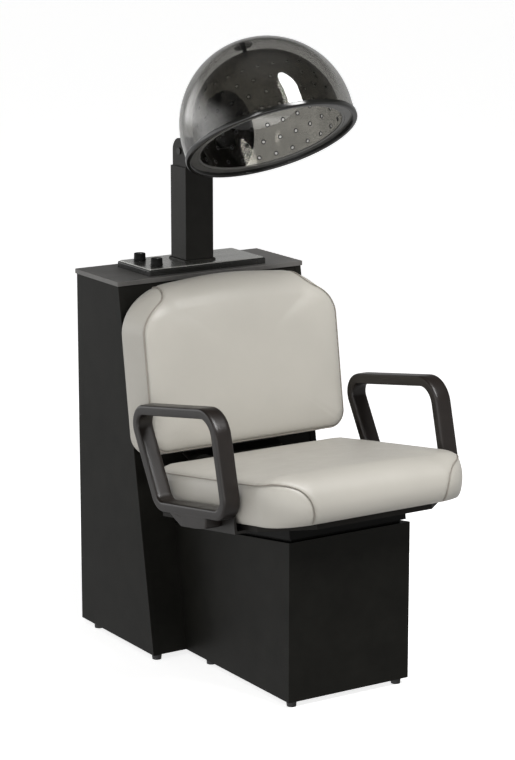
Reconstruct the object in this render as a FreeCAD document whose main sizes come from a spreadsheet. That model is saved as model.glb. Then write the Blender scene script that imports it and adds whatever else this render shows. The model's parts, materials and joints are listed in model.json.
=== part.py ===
import FreeCAD, Part
import Sketcher
import math
import os
import re

# Hooded dryer chair, in millimetres.
# Z is up, X is across, and the sitter faces towards -Y.
# The origin is on the floor, under the middle of the whole object.

os.makedirs("parts", exist_ok=True)
doc = FreeCAD.newDocument("dryer_chair")
sheet = doc.addObject("Spreadsheet::Sheet", "Sizes")

# Driving sizes

sizes = {
    # where the object stands
    "origin_to_rear": 447.3,
    "foot_height": 15,
    "foot_radius": 12,
    "foot_inset": 20,
    "foot_taper": 1.5,
    "foot_setback": 48,
    # cabinet boards
    "board": 16,
    "board_round": 1,
    "cabinet_width": 496,
    "cabinet_height": 839.5,
    "cabinet_foot_depth": 340,
    "cabinet_head_depth": 195,
    "front_recess": 2,
    "back_panel": 12,
    "shelf_level": 455,
    "board_gap": 0.2,
    "vent_width": 180,
    "vent_slot": 8,
    "vent_pitch": 18,
    "vent_level": 520,
    "vent_count": 9,
    "lid_thickness": 11,
    "lid_overhang": 3,
    "lid_round": 1.5,
    # console on the lid
    "console_width": 316,
    "console_depth": 149,
    "console_height": 14,
    "console_setback": 36,
    "console_slope": 3,
    "plate_thickness": 2,
    "plate_inset": 4,
    "hole_gap": 1,
    # knobs and switches
    "knob_radius": 14.5,
    "knob_height": 17,
    "knob_round": 1.5,
    "knob_lift": 0.8,
    "knob_mark": 1.2,
    "knob_mark_depth": 0.6,
    "knob_offset": 117,
    "timer_setback": 148,
    "heat_setback": 70,
    "shaft_radius": 3,
    "shaft_hold": 11,
    "shaft_depth": 14,
    "shaft_gap": 0.05,
    "bushing_radius": 5,
    "switch_side": 38,
    "switch_height": 30,
    # column
    "column_width": 74.6,
    "column_depth": 68.4,
    "column_height": 220,
    "column_setback": 78.6,
    "column_sheet": 1.5,
    "column_round": 1.2,
    "cover_recess": 0.8,
    "cover_gap": 0.4,
    "cover_bend": 10,
    "flange_flare": 4,
    "flange_height": 5,
    "guide_height": 30,
    "guide_gap": 0.25,
    # neck and hinge
    "neck_width": 67,
    "neck_depth": 60,
    "neck_wall": 2,
    "neck_ear": 3,
    "neck_rise": 36,
    "neck_tail": 195,
    "neck_front_drop": 42,
    "drum_gap": 0.5,
    "drum_wall": 3.5,
    "pin_radius": 4,
    "pin_head_radius": 8,
    "pin_head": 3,
    "pin_gap": 0.05,
    # hood
    "hood_tilt": 31,
    "hood_reach": 337,
    "duct_rise": 16.5,
    "duct_width": 54,
    "duct_height": 44,
    "duct_wall": 2.5,
    "duct_entry": 12,
    "duct_fit": 0.5,
    "dome_radius": 194.3,
    "dome_skirt": 40,
    "dome_wall": 3,
    "liner_radius": 166,
    "liner_wall": 2,
    "ring_level": 5.7,
    "ring_thickness": 3,
    "ring_lap": 1,
    "trim_wall": 2.7,
    "trim_height": 11,
    "trim_lap": 8,
    "vent_hole_radius": 3.5,
    "vent_hole_count": 26,
    "vent_rows": 4,
    "vent_row_low": 22,
    "vent_row_step": 34,
    "gasket_width": 13,
    "gasket_depth": 9,
    "cap_radius": 22,
    "cap_height": 3.5,
    "post_radius": 5,
    # blower and heater
    "wheel_radius": 60,
    "wheel_width": 48,
    "wheel_plate": 2,
    "wheel_hub_radius": 14,
    "blade_count": 24,
    "blade_thickness": 1.6,
    "blade_depth": 12,
    "scroll_gap": 10,
    "scroll_wall": 2,
    "scroll_width": 62,
    "scroll_growth": 12,
    "scroll_foot": 12,
    "inlet_share": 0.72,
    "motor_radius": 38,
    "motor_length": 56,
    "motor_shaft_radius": 4,
    "motor_shaft_tail": 20,
    "heater_height": 110,
    "heater_wall": 2,
    "heater_flange": 10,
    "rod_radius": 4,
    "rod_count": 5,
    "rod_pitch": 10,
    "thermostat_radius": 9,
    "thermostat_height": 7,
    "air_duct_wall": 1.5,
    "air_duct_gap": 1.5,
    "inlet_width": 48,
    "inlet_height": 28,
    "inlet_depth": 26,
    "inlet_flange": 8,
    "inlet_flange_thickness": 2,
    "inlet_level": 90,
    "inlet_socket_depth": 18,
    "inlet_offset": 150,
    # chair base
    "base_width": 319,
    "base_reach": 431,
    "base_front_height": 362.5,
    "base_foot_setback": 76,
    "seat_pitch": 8.5,
    # seat frame and board, square to the pitched seat
    "frame_inset": 6,
    "frame_height": 38,
    "frame_rail": 18,
    "plinth_height": 6,
    "plinth_inset": 10,
    "seat_board": 12,
    "seat_board_inset": 22,
    "seat_board_nose": 37,
    "seat_board_corner": 92,
    "seat_board_tail": 10,
    # seat cushion
    "seat_seam": 92,
    "seat_side_gap": 4,
    "seat_front": 137,
    "seat_tuck": 20,
    "seat_corner": 98,
    "seat_rear_corner": 45,
    "seat_side_draw": 12,
    "seat_front_draw": 20,
    "seat_crown": 16,
    "crown_share": 0.72,
    "corner_share": 0.55,
    # back cushion
    "back_setback": 49,
    "back_depth": 88,
    "back_crown": 13,
    "back_side_gap": 2,
    "back_low": 172,
    "back_high": 564,
    "back_top_corner": 104,
    "back_low_corner": 46,
    "back_side_draw": 7,
    "back_board": 8,
    "back_board_inset": 26,
    # back support
    "support_plate": 5,
    "support_width": 254,
    "support_high": 400,
    "support_offset": 23,
    "support_foot": 103,
    "support_joggle": 146,
    "support_step": 12,
    "support_rise": 3.3,
    "support_bolt_setback": 83,
    "seat_bolt_offset": 90,
    "back_bolt_offset": 100,
    "back_bolt_drop": 40,
    "cover_offset": 107,
    "cover_level": 124,
    "cover_radius": 34,
    "cover_bar": 28,
    "cover_end": 6,
    "cover_thickness": 32,
    # arms
    "arm_half": 310,
    "arm_width": 42,
    "arm_bar": 24.5,
    "arm_low": 66,
    "arm_high": 301,
    "arm_top_rise": 8,
    "arm_front": 0,
    "arm_front_lean": 5.8,
    "arm_length": 306,
    "arm_rear_lean": 21.8,
    "arm_corner": 48,
    "arm_front_corner": 66,
    "arm_round": 7,
    "tab_round": 10,
    "tab_front_share": 0.285,
    "tab_length_share": 0.49,
    "tab_drop": 24,
    "tab_run": 38,
    "bracket": 6,
    "bracket_front": 42,
    "bracket_length": 200,
    "bracket_height": 38,
    "bracket_clearance": 14.5,
    "bracket_bolt_share": 0.3,
    "bracket_gap": 0.3,
    # fasteners
    "bolt_radius": 3,
    "bolt_head_radius": 6.5,
    "bolt_head": 3.5,
    "bolt_spacing": 80,
    "bolt_inset": 70,
    "bolt_grip": 14,
    "arm_bolt_level": 54,
    "overrun": 30,
}

# Sizes worked out from the driving ones

worked = {
    "rear": "origin_to_rear",
    "cabinet_rear": "rear - lid_overhang",
    "cabinet_front": "cabinet_rear - cabinet_foot_depth",
    "cabinet_front_head": "cabinet_rear - cabinet_head_depth",
    "front_slope": "(cabinet_foot_depth - cabinet_head_depth) / cabinet_height",
    "cabinet_top": "foot_height + cabinet_height",
    "lid_top": "cabinet_top + lid_thickness",
    "lid_depth": "cabinet_head_depth + 2 * lid_overhang",
    "inner_half": "cabinet_width / 2 - board",
    "console_rear": "rear - console_setback",
    "console_top": "lid_top + console_height",
    "plate_top": "console_top + plate_thickness",
    "column_rear": "rear - column_setback",
    "column_middle": "column_rear - column_depth / 2",
    "column_top": "plate_top + column_height",
    "neck_half": "neck_width / 2",
    "hinge_level": "column_top + neck_rise",
    "drum_radius": "neck_depth / 2 - neck_wall - drum_gap",
    "drum_width": "neck_width - 2 * neck_ear - 2 * drum_gap",
    "dome_middle": "column_middle - hood_reach * cos(duct_rise)",
    "dome_level": "hinge_level + hood_reach * sin(duct_rise)",
    "rim_middle": "dome_middle - dome_skirt * sin(hood_tilt)",
    "rim_level": "dome_level - dome_skirt * cos(hood_tilt)",
    "duct_length": "hood_reach - dome_radius + duct_entry",
    "base_front": "cabinet_front - base_reach",
    "base_top": "foot_height + base_front_height",
    "pitch_slope": "tan(seat_pitch)",
    "face_foot": "cabinet_front + front_recess",
    "base_rear_top": "(face_foot + front_slope * (base_front_height + pitch_slope * base_front))"
                     " / (1 + front_slope * pitch_slope)",
    "base_rear_rise": "base_front_height - (base_rear_top - base_front) * pitch_slope",
    "base_top_run": "(base_rear_top - base_front) / cos(seat_pitch) - 2 * board_gap",
    "board_top": "frame_height + seat_board",
    "back_face": "base_reach - back_setback",
    "back_rear": "back_face + back_depth",
    "support_face": "back_rear + back_board",
    "support_rear": "support_face + support_plate",
    "support_stand": "support_face - support_offset",
    "support_bolt_line": "support_stand - support_bolt_setback",
    "frame_length": "support_stand - support_foot - hole_gap - frame_inset",
    "under_bracket": "frame_height - bracket",
    "shaft_y_timer": "rear - timer_setback",
    "shaft_y_heat": "rear - heat_setback",
    "switch_top": "cabinet_top",
    "wheel_middle": "column_middle",
    "scroll_radius": "wheel_radius + scroll_gap + scroll_wall",
    "scroll_far": "scroll_radius + 3 * scroll_growth",
    "air_width": "neck_width - 2 * neck_wall",
    "air_depth": "neck_depth - 2 * neck_wall",
    "core_width": "air_width - 2 * air_duct_wall",
    "core_depth": "air_depth - 2 * air_duct_wall",
    "wheel_offset": "scroll_far - air_width / 2 - heater_wall",
    "wheel_level": "shelf_level + board + scroll_foot + scroll_radius + scroll_growth",
    "scroll_top": "wheel_level + scroll_radius + 2 * scroll_growth",
    "heater_top": "scroll_top + heater_height",
    "arm_inner": "arm_half - arm_width",
    "seat_half": "arm_inner - seat_side_gap",
    "seat_rear": "back_face + seat_tuck",
    "seat_board_half": "seat_half - seat_board_inset",
    "seat_board_front": "seat_front - seat_board_nose",
    "seat_board_rear": "seat_rear - seat_board_tail",
    "back_half": "arm_inner - back_side_gap",
    "bracket_inner": "base_width / 2 - frame_inset + bracket_clearance",
    "bracket_bolt_offset": "bracket_inner + bracket_bolt_share * (arm_inner - bracket_inner)",
    "arm_rear": "arm_front + arm_length",
    "arm_front_high": "arm_high + arm_top_rise",
    "arm_top_front": "arm_front + (arm_front_high - arm_low) * tan(arm_front_lean)",
    "arm_top_rear": "arm_rear + (arm_high - arm_low) * tan(arm_rear_lean)",
    "tab_front": "arm_front + tab_front_share * arm_length",
    "tab_rear": "tab_front + tab_length_share * arm_length",
    "tab_level": "arm_low - tab_drop",
}

for line, (name, number) in enumerate(sizes.items(), start=1):
    sheet.set("A%d" % line, name)
    sheet.set("B%d" % line, str(number))
    sheet.setAlias("B%d" % line, name)
for line, (name, formula) in enumerate(worked.items(), start=1):
    sheet.set("D%d" % line, name)
    sheet.set("E%d" % line, "=" + formula)
    sheet.setAlias("E%d" % line, name)
doc.recompute()
names = set(sizes) | set(worked)


def value(formula):
    """The number that a formula in the sheet's names stands for."""
    return float(sheet.evalExpression(formula))


def bind(formula):
    """The same formula as an expression for another object's property."""
    return re.sub(r"[a-z][a-z_0-9]*",
                  lambda word: "Sizes." + word.group(0) if word.group(0) in names else word.group(0),
                  formula)


# Helpers for sketches, features and placements

shown = []


def keep(item):
    """Marks an object as a sub-part that is written to its own file."""
    shown.append(item)
    return item


def place(item, x="0", y="0", z="0", lean="0"):
    """Puts an object at x, y, z, turned by lean degrees about X (front edge up)."""
    item.Placement = FreeCAD.Placement(
        FreeCAD.Vector(value(x), value(y), value(z)),
        FreeCAD.Rotation(FreeCAD.Vector(-1, 0, 0), value(lean)))
    item.setExpression("Placement.Base.x", bind(x))
    item.setExpression("Placement.Base.y", bind(y))
    item.setExpression("Placement.Base.z", bind(z))
    if lean != "0":
        item.setExpression("Placement.Rotation.Angle", bind(lean))
    return item


def in_seat(item):
    """Puts an object in the seat's own frame: the base's top front edge, pitched back."""
    return place(item, "0", "base_front", "base_top", "seat_pitch")


def in_hood(item):
    """Puts an object in the hood's own frame: the rim's centre, Z along the dome's axis."""
    return place(item, "0", "rim_middle", "rim_level", "hood_tilt")


def body(label):
    item = doc.addObject("PartDesign::Body", label)
    item.Label = label
    return keep(item)


def origin_item(owner, role):
    return [item for item in owner.Origin.OriginFeatures if item.Role == role][0]


def new_sketch(owner, role, offset):
    sketch = owner.newObject("Sketcher::SketchObject", owner.Label + "_sketch")
    sketch.AttachmentSupport = [(origin_item(owner, role), "")]
    sketch.MapMode = "FlatFace"
    if offset != "0":
        sketch.setExpression("AttachmentOffset.Base.z", bind(offset))
        sketch.AttachmentOffset = FreeCAD.Placement(
            FreeCAD.Vector(0, 0, value(offset)), FreeCAD.Rotation())
    return sketch


def pin_point(sketch, edge, end, across, up):
    """Ties one end of an edge to the sketch's origin by two sizes."""
    for kind, formula in (("DistanceX", across), ("DistanceY", up)):
        number = sketch.addConstraint(
            Sketcher.Constraint(kind, -1, 1, edge, end, value(formula)))
        sketch.setExpression("Constraints[%d]" % number, bind(formula))


def draw(sketch, outline):
    """Draws a closed outline. A corner is (across, up): a straight edge leaves it.
    With (across, up, radius, centre across, centre up, turn) an arc leaves it, and
    turn is 1 for an arc that goes round to the left and -1 for one to the right."""
    points = [FreeCAD.Vector(value(corner[0]), value(corner[1]), 0) for corner in outline]
    count = len(outline)
    ends = []
    for index, corner in enumerate(outline):
        start = points[index]
        stop = points[(index + 1) % count]
        if len(corner) == 2:
            sketch.addGeometry(Part.LineSegment(start, stop), False)
            ends.append((1, 2))
            continue
        centre = FreeCAD.Vector(value(corner[3]), value(corner[4]), 0)
        first, last = (start, stop) if corner[5] > 0 else (stop, start)
        angles = [math.atan2(point.y - centre.y, point.x - centre.x) for point in (first, last)]
        circle = Part.Circle(centre, FreeCAD.Vector(0, 0, 1), value(corner[2]))
        sketch.addGeometry(Part.ArcOfCircle(circle, angles[0], angles[1]), False)
        ends.append((1, 2) if corner[5] > 0 else (2, 1))
    for index, corner in enumerate(outline):
        following = (index + 1) % count
        sketch.addConstraint(Sketcher.Constraint(
            "Coincident", index, ends[index][1], following, ends[following][0]))
    for index, corner in enumerate(outline):
        pin_point(sketch, index, ends[index][0], corner[0], corner[1])
        if len(corner) > 2:
            number = sketch.addConstraint(Sketcher.Constraint("Radius", index, value(corner[2])))
            sketch.setExpression("Constraints[%d]" % number, bind(corner[2]))
    return sketch


def draw_circle(sketch, across, up, radius):
    centre = FreeCAD.Vector(value(across), value(up), 0)
    sketch.addGeometry(Part.Circle(centre, FreeCAD.Vector(0, 0, 1), value(radius)), False)
    pin_point(sketch, 0, 3, across, up)
    number = sketch.addConstraint(Sketcher.Constraint("Radius", 0, value(radius)))
    sketch.setExpression("Constraints[%d]" % number, bind(radius))
    return sketch


def extrude(owner, kind, role, outline, length, middle="0"):
    """A pad or pocket that reaches length / 2 to each side of the plane at middle.
    The outline is a list of corners, or one tuple (across, up, radius) for a circle."""
    offset = "-(%s)" % middle if role == "XZ_Plane" and middle != "0" else middle
    sketch = new_sketch(owner, role, offset)
    if isinstance(outline, tuple):
        draw_circle(sketch, *outline)
    else:
        draw(sketch, outline)
    feature = owner.newObject("PartDesign::" + kind, owner.Label + "_" + kind.lower())
    feature.Profile = sketch
    feature.Midplane = True
    feature.setExpression("Length", bind(length))
    doc.recompute()
    return feature


def pad(owner, role, outline, length, middle="0"):
    return extrude(owner, "Pad", role, outline, length, middle)


def pocket(owner, role, outline, length, middle="0"):
    return extrude(owner, "Pocket", role, outline, length, middle)


def rectangle(left, low, right, high):
    return [(left, low), (right, low), (right, high), (left, high)]


def centred(width, height, across="0", up="0"):
    half_width = "(%s) / 2" % width
    half_height = "(%s) / 2" % height
    return rectangle("%s - %s" % (across, half_width), "%s - %s" % (up, half_height),
                     "%s + %s" % (across, half_width), "%s + %s" % (up, half_height))


def revolve(owner, outline, kind="Revolution"):
    """Turns an outline drawn in the XZ plane about the body's Z axis."""
    sketch = draw(new_sketch(owner, "XZ_Plane", "0"), outline)
    feature = owner.newObject("PartDesign::" + kind, owner.Label + "_" + kind.lower())
    feature.Profile = sketch
    feature.ReferenceAxis = (origin_item(owner, "Z_Axis"), [""])
    feature.Angle = 360
    doc.recompute()
    return feature


def ring_of(owner, features, count):
    """Repeats features about the body's Z axis."""
    pattern = owner.newObject("PartDesign::PolarPattern", owner.Label + "_ring")
    pattern.Originals = features
    pattern.Axis = (origin_item(owner, "Z_Axis"), [""])
    pattern.Angle = 360
    pattern.setExpression("Occurrences", bind(count))
    owner.Tip = pattern
    doc.recompute()
    return pattern


def soften(owner, radius, wanted):
    """Rounds the edges of the body for which wanted(edge) is true."""
    tip = owner.Tip
    chosen = ["Edge%d" % (number + 1) for number, edge in enumerate(tip.Shape.Edges)
              if wanted(edge)]
    feature = owner.newObject("PartDesign::Fillet", owner.Label + "_fillet")
    feature.Base = (tip, chosen)
    feature.setExpression("Radius", bind(radius))
    doc.recompute()
    return feature


def runs_along(edge, axis):
    """Whether an edge is straight and lies along an axis."""
    if not isinstance(edge.Curve, Part.Line):
        return False
    return abs(edge.tangentAt(edge.FirstParameter).dot(FreeCAD.Vector(*axis))) > 1 - EVEN


def at(number, formula):
    """Whether a coordinate lies at a place that a formula gives."""
    return abs(number - value(formula)) < EVEN


EVEN = 1e-3
ACROSS = (1, 0, 0)
DEEP = (0, 1, 0)
UPRIGHT = (0, 0, 1)


def block(label, size, corner):
    """A plain box part with its size and its lowest corner given as formulas."""
    item = doc.addObject("Part::Box", label)
    for side, formula in zip(("Length", "Width", "Height"), size):
        item.setExpression(side, bind(formula))
    return place(item, *corner)


def rod(label, radius, length, start, axis):
    """A cylinder from start along X, Y or Z."""
    item = doc.addObject("Part::Cylinder", label)
    item.setExpression("Radius", bind(radius))
    item.setExpression("Height", bind(length))
    place(item, *start)
    turns = {"X": (FreeCAD.Vector(0, 1, 0), 90), "Y": (FreeCAD.Vector(1, 0, 0), -90),
             "Z": (FreeCAD.Vector(0, 0, 1), 0)}
    item.Placement = FreeCAD.Placement(item.Placement.Base, FreeCAD.Rotation(*turns[axis]))
    return item


def fuse(label, pieces):
    item = doc.addObject("Part::MultiFuse", label)
    item.Shapes = pieces
    return item


def cut_away(label, base, tool):
    item = doc.addObject("Part::Cut", label)
    item.Base = base
    item.Tool = tool
    return item


def group(label, pieces):
    """Identical loose pieces that share one file."""
    item = doc.addObject("Part::Compound", label)
    item.Label = label
    item.Links = pieces
    return keep(item)


# Cabinet

def cabinet_side(label, side):
    item = body(label)
    pad(item, "YZ_Plane", [
        ("cabinet_front", "foot_height"), ("cabinet_rear", "foot_height"),
        ("cabinet_rear", "cabinet_top"), ("cabinet_front_head", "cabinet_top")],
        "board", "%d * (cabinet_width / 2 - board / 2)" % side)
    outside = "%d * cabinet_width / 2" % side
    soften(item, "board_round", lambda edge: edge.BoundBox.XLength < EVEN
           and at(edge.BoundBox.XMin, outside))
    return place(item)


def front_line(level):
    """The depth of the sloped front at a level above the boards' feet, at its recess."""
    return "face_foot + front_slope * (%s - foot_height)" % level


def cabinet_front_panel():
    item = body("cabinet_front_panel")
    run = "board / cos(atan(front_slope))"
    pad(item, "YZ_Plane", [
        ("face_foot", "foot_height"), ("face_foot + %s" % run, "foot_height"),
        (front_line("cabinet_top") + " + %s" % run, "cabinet_top"),
        (front_line("cabinet_top"), "cabinet_top")],
        "2 * inner_half")
    return place(item)


def cabinet_back_panel():
    item = body("cabinet_back_panel")
    pad(item, "XZ_Plane", centred("2 * inner_half", "cabinet_height", "0", "foot_height + cabinet_height / 2"),
        "back_panel", "cabinet_rear - back_panel / 2")
    slot = pocket(item, "XZ_Plane", centred("vent_width", "vent_slot", "0", "vent_level"),
                  "overrun", "cabinet_rear - back_panel / 2")
    rows = item.newObject("PartDesign::LinearPattern", "vent_rows")
    rows.Originals = [slot]
    rows.Direction = (origin_item(item, "Z_Axis"), [""])
    rows.setExpression("Length", bind("vent_pitch * (vent_count - 1)"))
    rows.setExpression("Occurrences", bind("vent_count"))
    item.Tip = rows
    doc.recompute()
    pocket(item, "XZ_Plane", centred("inlet_width + 2 * duct_fit", "inlet_height + 2 * duct_fit",
                                     "inlet_offset", "inlet_level"),
           "overrun", "cabinet_rear - back_panel / 2")
    return place(item)


def cabinet_board(label, level, thickness):
    """A level board from the back panel to the sloped front panel."""
    item = body(label)
    behind = " + board / cos(atan(front_slope)) + board_gap"
    top = "%s + %s" % (level, thickness)
    pad(item, "YZ_Plane", [
        (front_line(top) + behind, level),
        ("cabinet_rear - back_panel - board_gap", level),
        ("cabinet_rear - back_panel - board_gap", top),
        (front_line(top) + behind, top)],
        "2 * inner_half - 2 * board_gap")
    return place(item)


def lid():
    item = body("cabinet_lid")
    pad(item, "XY_Plane", centred("cabinet_width + 2 * lid_overhang", "lid_depth",
                                  "0", "rear - lid_depth / 2"),
        "lid_thickness", "cabinet_top + lid_thickness / 2")
    soften(item, "lid_round", lambda edge: runs_along(edge, UPRIGHT)
           or at(edge.BoundBox.ZMin, "lid_top"))
    pocket(item, "XY_Plane", centred("air_width + 2 * hole_gap", "air_depth + 2 * hole_gap",
                                     "0", "column_middle"), "overrun", "cabinet_top")
    for depth in ("shaft_y_timer", "shaft_y_heat"):
        pocket(item, "XY_Plane", ("-knob_offset", depth, "bushing_radius + shaft_gap"),
               "overrun", "cabinet_top")
    return place(item)


def foot(side, half_width, depth):
    """Tapered rubber foot under a board."""
    item = doc.addObject("Part::Cone", "foot")
    item.setExpression("Radius1", bind("foot_radius - foot_taper"))
    item.setExpression("Radius2", bind("foot_radius"))
    item.setExpression("Height", bind("foot_height"))
    return place(item, "%d * (%s - foot_inset)" % (side, half_width), depth)


cabinet_side("cabinet_left_side", -1)
cabinet_side("cabinet_right_side", 1)
cabinet_front_panel()
cabinet_back_panel()
cabinet_board("cabinet_floor", "foot_height", "board")
cabinet_board("cabinet_shelf", "shelf_level", "board")
lid()
group("cabinet_feet", [foot(side, "cabinet_width / 2", depth) for side in (-1, 1)
                       for depth in ("cabinet_rear - foot_setback", "cabinet_front + foot_inset")])


# Console, knobs and switches

def console_tray():
    item = body("console_tray")
    middle = "console_rear - console_depth / 2"
    pad(item, "XY_Plane", centred("console_width", "console_depth", "0", middle),
        "console_height", "lid_top + console_height / 2")
    soften(item, "console_slope", lambda edge: runs_along(edge, UPRIGHT)
           or at(edge.BoundBox.ZMin, "console_top"))
    pocket(item, "XY_Plane", centred("air_width + 2 * hole_gap", "air_depth + 2 * hole_gap",
                                     "0", "column_middle"), "overrun", "lid_top")
    for depth in ("shaft_y_timer", "shaft_y_heat"):
        pocket(item, "XY_Plane", ("-knob_offset", depth, "bushing_radius + hole_gap"),
               "overrun", "lid_top")
    return place(item)


def console_plate():
    item = body("console_plate")
    pad(item, "XY_Plane", centred("console_width - 2 * plate_inset", "console_depth - 2 * plate_inset",
                                  "0", "console_rear - console_depth / 2"),
        "plate_thickness", "console_top + plate_thickness / 2")
    soften(item, "console_slope", lambda edge: runs_along(edge, UPRIGHT))
    pocket(item, "XY_Plane", centred("air_width + 2 * hole_gap", "air_depth + 2 * hole_gap",
                                     "0", "column_middle"), "overrun", "console_top")
    for depth in ("shaft_y_timer", "shaft_y_heat"):
        pocket(item, "XY_Plane", ("-knob_offset", depth, "shaft_radius + hole_gap"),
               "overrun", "console_top")
    return place(item)


def knob(label, depth):
    """A round knob with a pointer groove across its top."""
    item = body(label)
    pad(item, "XY_Plane", ("0", "0", "knob_radius"), "knob_height", "knob_height / 2")
    soften(item, "knob_round", lambda edge: at(edge.BoundBox.ZMin, "knob_height"))
    pocket(item, "XY_Plane", rectangle("-knob_mark / 2", "-knob_radius - overrun",
                                       "knob_mark / 2", "0"),
           "2 * knob_mark_depth", "knob_height")
    pocket(item, "XY_Plane", ("0", "0", "shaft_radius + shaft_gap"), "2 * shaft_hold")
    return place(item, "-knob_offset", depth, "plate_top + knob_lift")


def knob_shaft(label, depth):
    item = rod(label, "shaft_radius", "shaft_hold + knob_lift + plate_top - cabinet_top + shaft_depth",
               ("-knob_offset", depth, "cabinet_top - shaft_depth"), "Z")
    item.Label = label
    return keep(item)


def switch(label, depth):
    """A switch body under the lid, with the bushing that guides the knob's shaft."""
    item = body(label)
    bushing = "(lid_thickness + console_height)"
    pad(item, "XY_Plane", centred("switch_side", "switch_side"), "switch_height", "-switch_height / 2")
    soften(item, "knob_round", lambda edge: runs_along(edge, UPRIGHT))
    pad(item, "XY_Plane", ("0", "0", "bushing_radius"), "2 * " + bushing)
    pocket(item, "XY_Plane", ("0", "0", "shaft_radius + shaft_gap"), "%s + shaft_depth" % bushing,
           "(%s - shaft_depth) / 2" % bushing)
    return place(item, "-knob_offset", depth, "cabinet_top")


console_tray()
console_plate()
for word, depth in (("timer", "shaft_y_timer"), ("heat", "shaft_y_heat")):
    knob(word + "_knob", depth)
    knob_shaft(word + "_shaft", depth)
    switch(word + "_switch", depth)


# Column

def column_channel():
    """Back and two sides of the column, folded from one sheet, with lips for the cover."""
    item = body("column_channel")
    pad(item, "XY_Plane", centred("column_width", "column_depth", "0", "column_middle"),
        "column_height", "plate_top + column_height / 2")
    soften(item, "column_round", lambda edge: runs_along(edge, UPRIGHT))
    pocket(item, "XY_Plane", rectangle(
        "-column_width / 2 + column_sheet", "column_middle - column_depth / 2 - overrun",
        "column_width / 2 - column_sheet", "column_rear - column_sheet"),
        "3 * column_height", "plate_top")
    return place(item)


def column_cover():
    """Front plate with two short flanges, held between the channel's sides."""
    item = body("column_cover")
    front = "column_middle - column_depth / 2 + cover_recess"
    half = "(column_width / 2 - column_sheet - cover_gap)"
    pad(item, "XY_Plane", rectangle("-" + half, front, half, front + " + cover_bend"),
        "column_height", "plate_top + column_height / 2")
    pocket(item, "XY_Plane", rectangle(
        "-%s + column_sheet" % half, front + " + column_sheet",
        "%s - column_sheet" % half, front + " + cover_bend + overrun"),
        "3 * column_height", "plate_top")
    return place(item)


def column_flange():
    item = body("column_flange")
    pad(item, "XY_Plane", centred("column_width + 2 * flange_flare", "column_depth + 2 * flange_flare",
                                  "0", "column_middle"),
        "flange_height", "plate_top + flange_height / 2")
    soften(item, "column_round", lambda edge: runs_along(edge, UPRIGHT))
    soften(item, "flange_height - column_sheet", lambda edge: at(edge.BoundBox.ZMin, "plate_top + flange_height"))
    pocket(item, "XY_Plane", centred("column_width + 2 * shaft_gap", "column_depth + 2 * shaft_gap",
                                     "0", "column_middle"), "overrun", "plate_top")
    return place(item)


def neck_guide():
    """Plastic collar in the column's mouth, in which the neck slides."""
    item = body("neck_guide")
    inside = "column_middle - column_depth / 2 + cover_recess + column_sheet + shaft_gap"
    half = "(column_width / 2 - 2 * column_sheet - cover_gap - shaft_gap)"
    pad(item, "XY_Plane", rectangle("-" + half, inside, half, "column_rear - column_sheet - shaft_gap"),
        "guide_height", "column_top - guide_height / 2")
    pocket(item, "XY_Plane", centred("neck_width + 2 * guide_gap", "neck_depth + 2 * guide_gap",
                                     "0", "column_middle"), "3 * guide_height", "column_top")
    return place(item)


column_channel()
column_cover()
column_flange()
neck_guide()


# Neck, in a frame whose origin is the hinge

def neck_tube():
    """Rectangular tube whose side walls end in two round ears."""
    item = body("neck_tube")
    half = "(neck_depth / 2)"
    tail = "-(neck_rise + neck_tail)"
    pad(item, "YZ_Plane", [
        ("-" + half, tail), (half, tail), (half, "0", half, "0", "0", 1),
        ("0", half, half, "0", "0", 1), ("-" + half, "0")], "neck_width")
    pocket(item, "YZ_Plane", rectangle("-%s + neck_wall" % half, tail + " - overrun",
                                       "%s - neck_wall" % half, "-neck_front_drop + overrun"),
           "neck_width - 2 * neck_ear")
    pocket(item, "YZ_Plane", rectangle("-%s - overrun" % half, "-neck_front_drop",
                                       "%s - neck_wall" % half, "%s + overrun" % half),
           "neck_width - 2 * neck_ear")
    pocket(item, "YZ_Plane", ("0", "0", "pin_radius + pin_gap"), "2 * neck_width")
    return place(item, "0", "column_middle", "hinge_level")


def hinge_pin():
    pieces = [
        rod("pin_shank", "pin_radius", "neck_width", ("-neck_half", "column_middle", "hinge_level"), "X"),
        rod("pin_left_head", "pin_head_radius", "pin_head",
            ("-neck_half - pin_head", "column_middle", "hinge_level"), "X"),
        rod("pin_right_head", "pin_head_radius", "pin_head",
            ("neck_half", "column_middle", "hinge_level"), "X")]
    item = fuse("hinge_pin", pieces)
    item.Label = "hinge_pin"
    return keep(item)


neck_tube()
hinge_pin()


# Hood

def hood_duct():
    """Hollow drum on the hinge pin, with the duct that reaches into the dome."""
    item = body("hood_duct")
    pad(item, "YZ_Plane", ("0", "0", "drum_radius"), "drum_width")
    pad(item, "YZ_Plane", rectangle("-duct_length", "-duct_height / 2", "0", "duct_height / 2"),
        "duct_width")
    soften(item, "duct_wall", lambda edge: runs_along(edge, DEEP))
    pocket(item, "YZ_Plane", rectangle("-duct_length - overrun", "-duct_height / 2 + duct_wall",
                                       "0", "duct_height / 2 - duct_wall"),
           "duct_width - 2 * duct_wall")
    pocket(item, "YZ_Plane", ("0", "0", "drum_radius - drum_wall"), "duct_width - 2 * duct_wall")
    pocket(item, "YZ_Plane", rectangle("-duct_height / 2 + duct_wall", "-drum_radius - overrun",
                                       "duct_height / 2 - duct_wall", "0"),
           "duct_width - 2 * duct_wall")
    pocket(item, "YZ_Plane", ("0", "0", "pin_radius + pin_gap"), "2 * neck_width")
    return place(item, "0", "column_middle", "hinge_level", "duct_rise")


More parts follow.
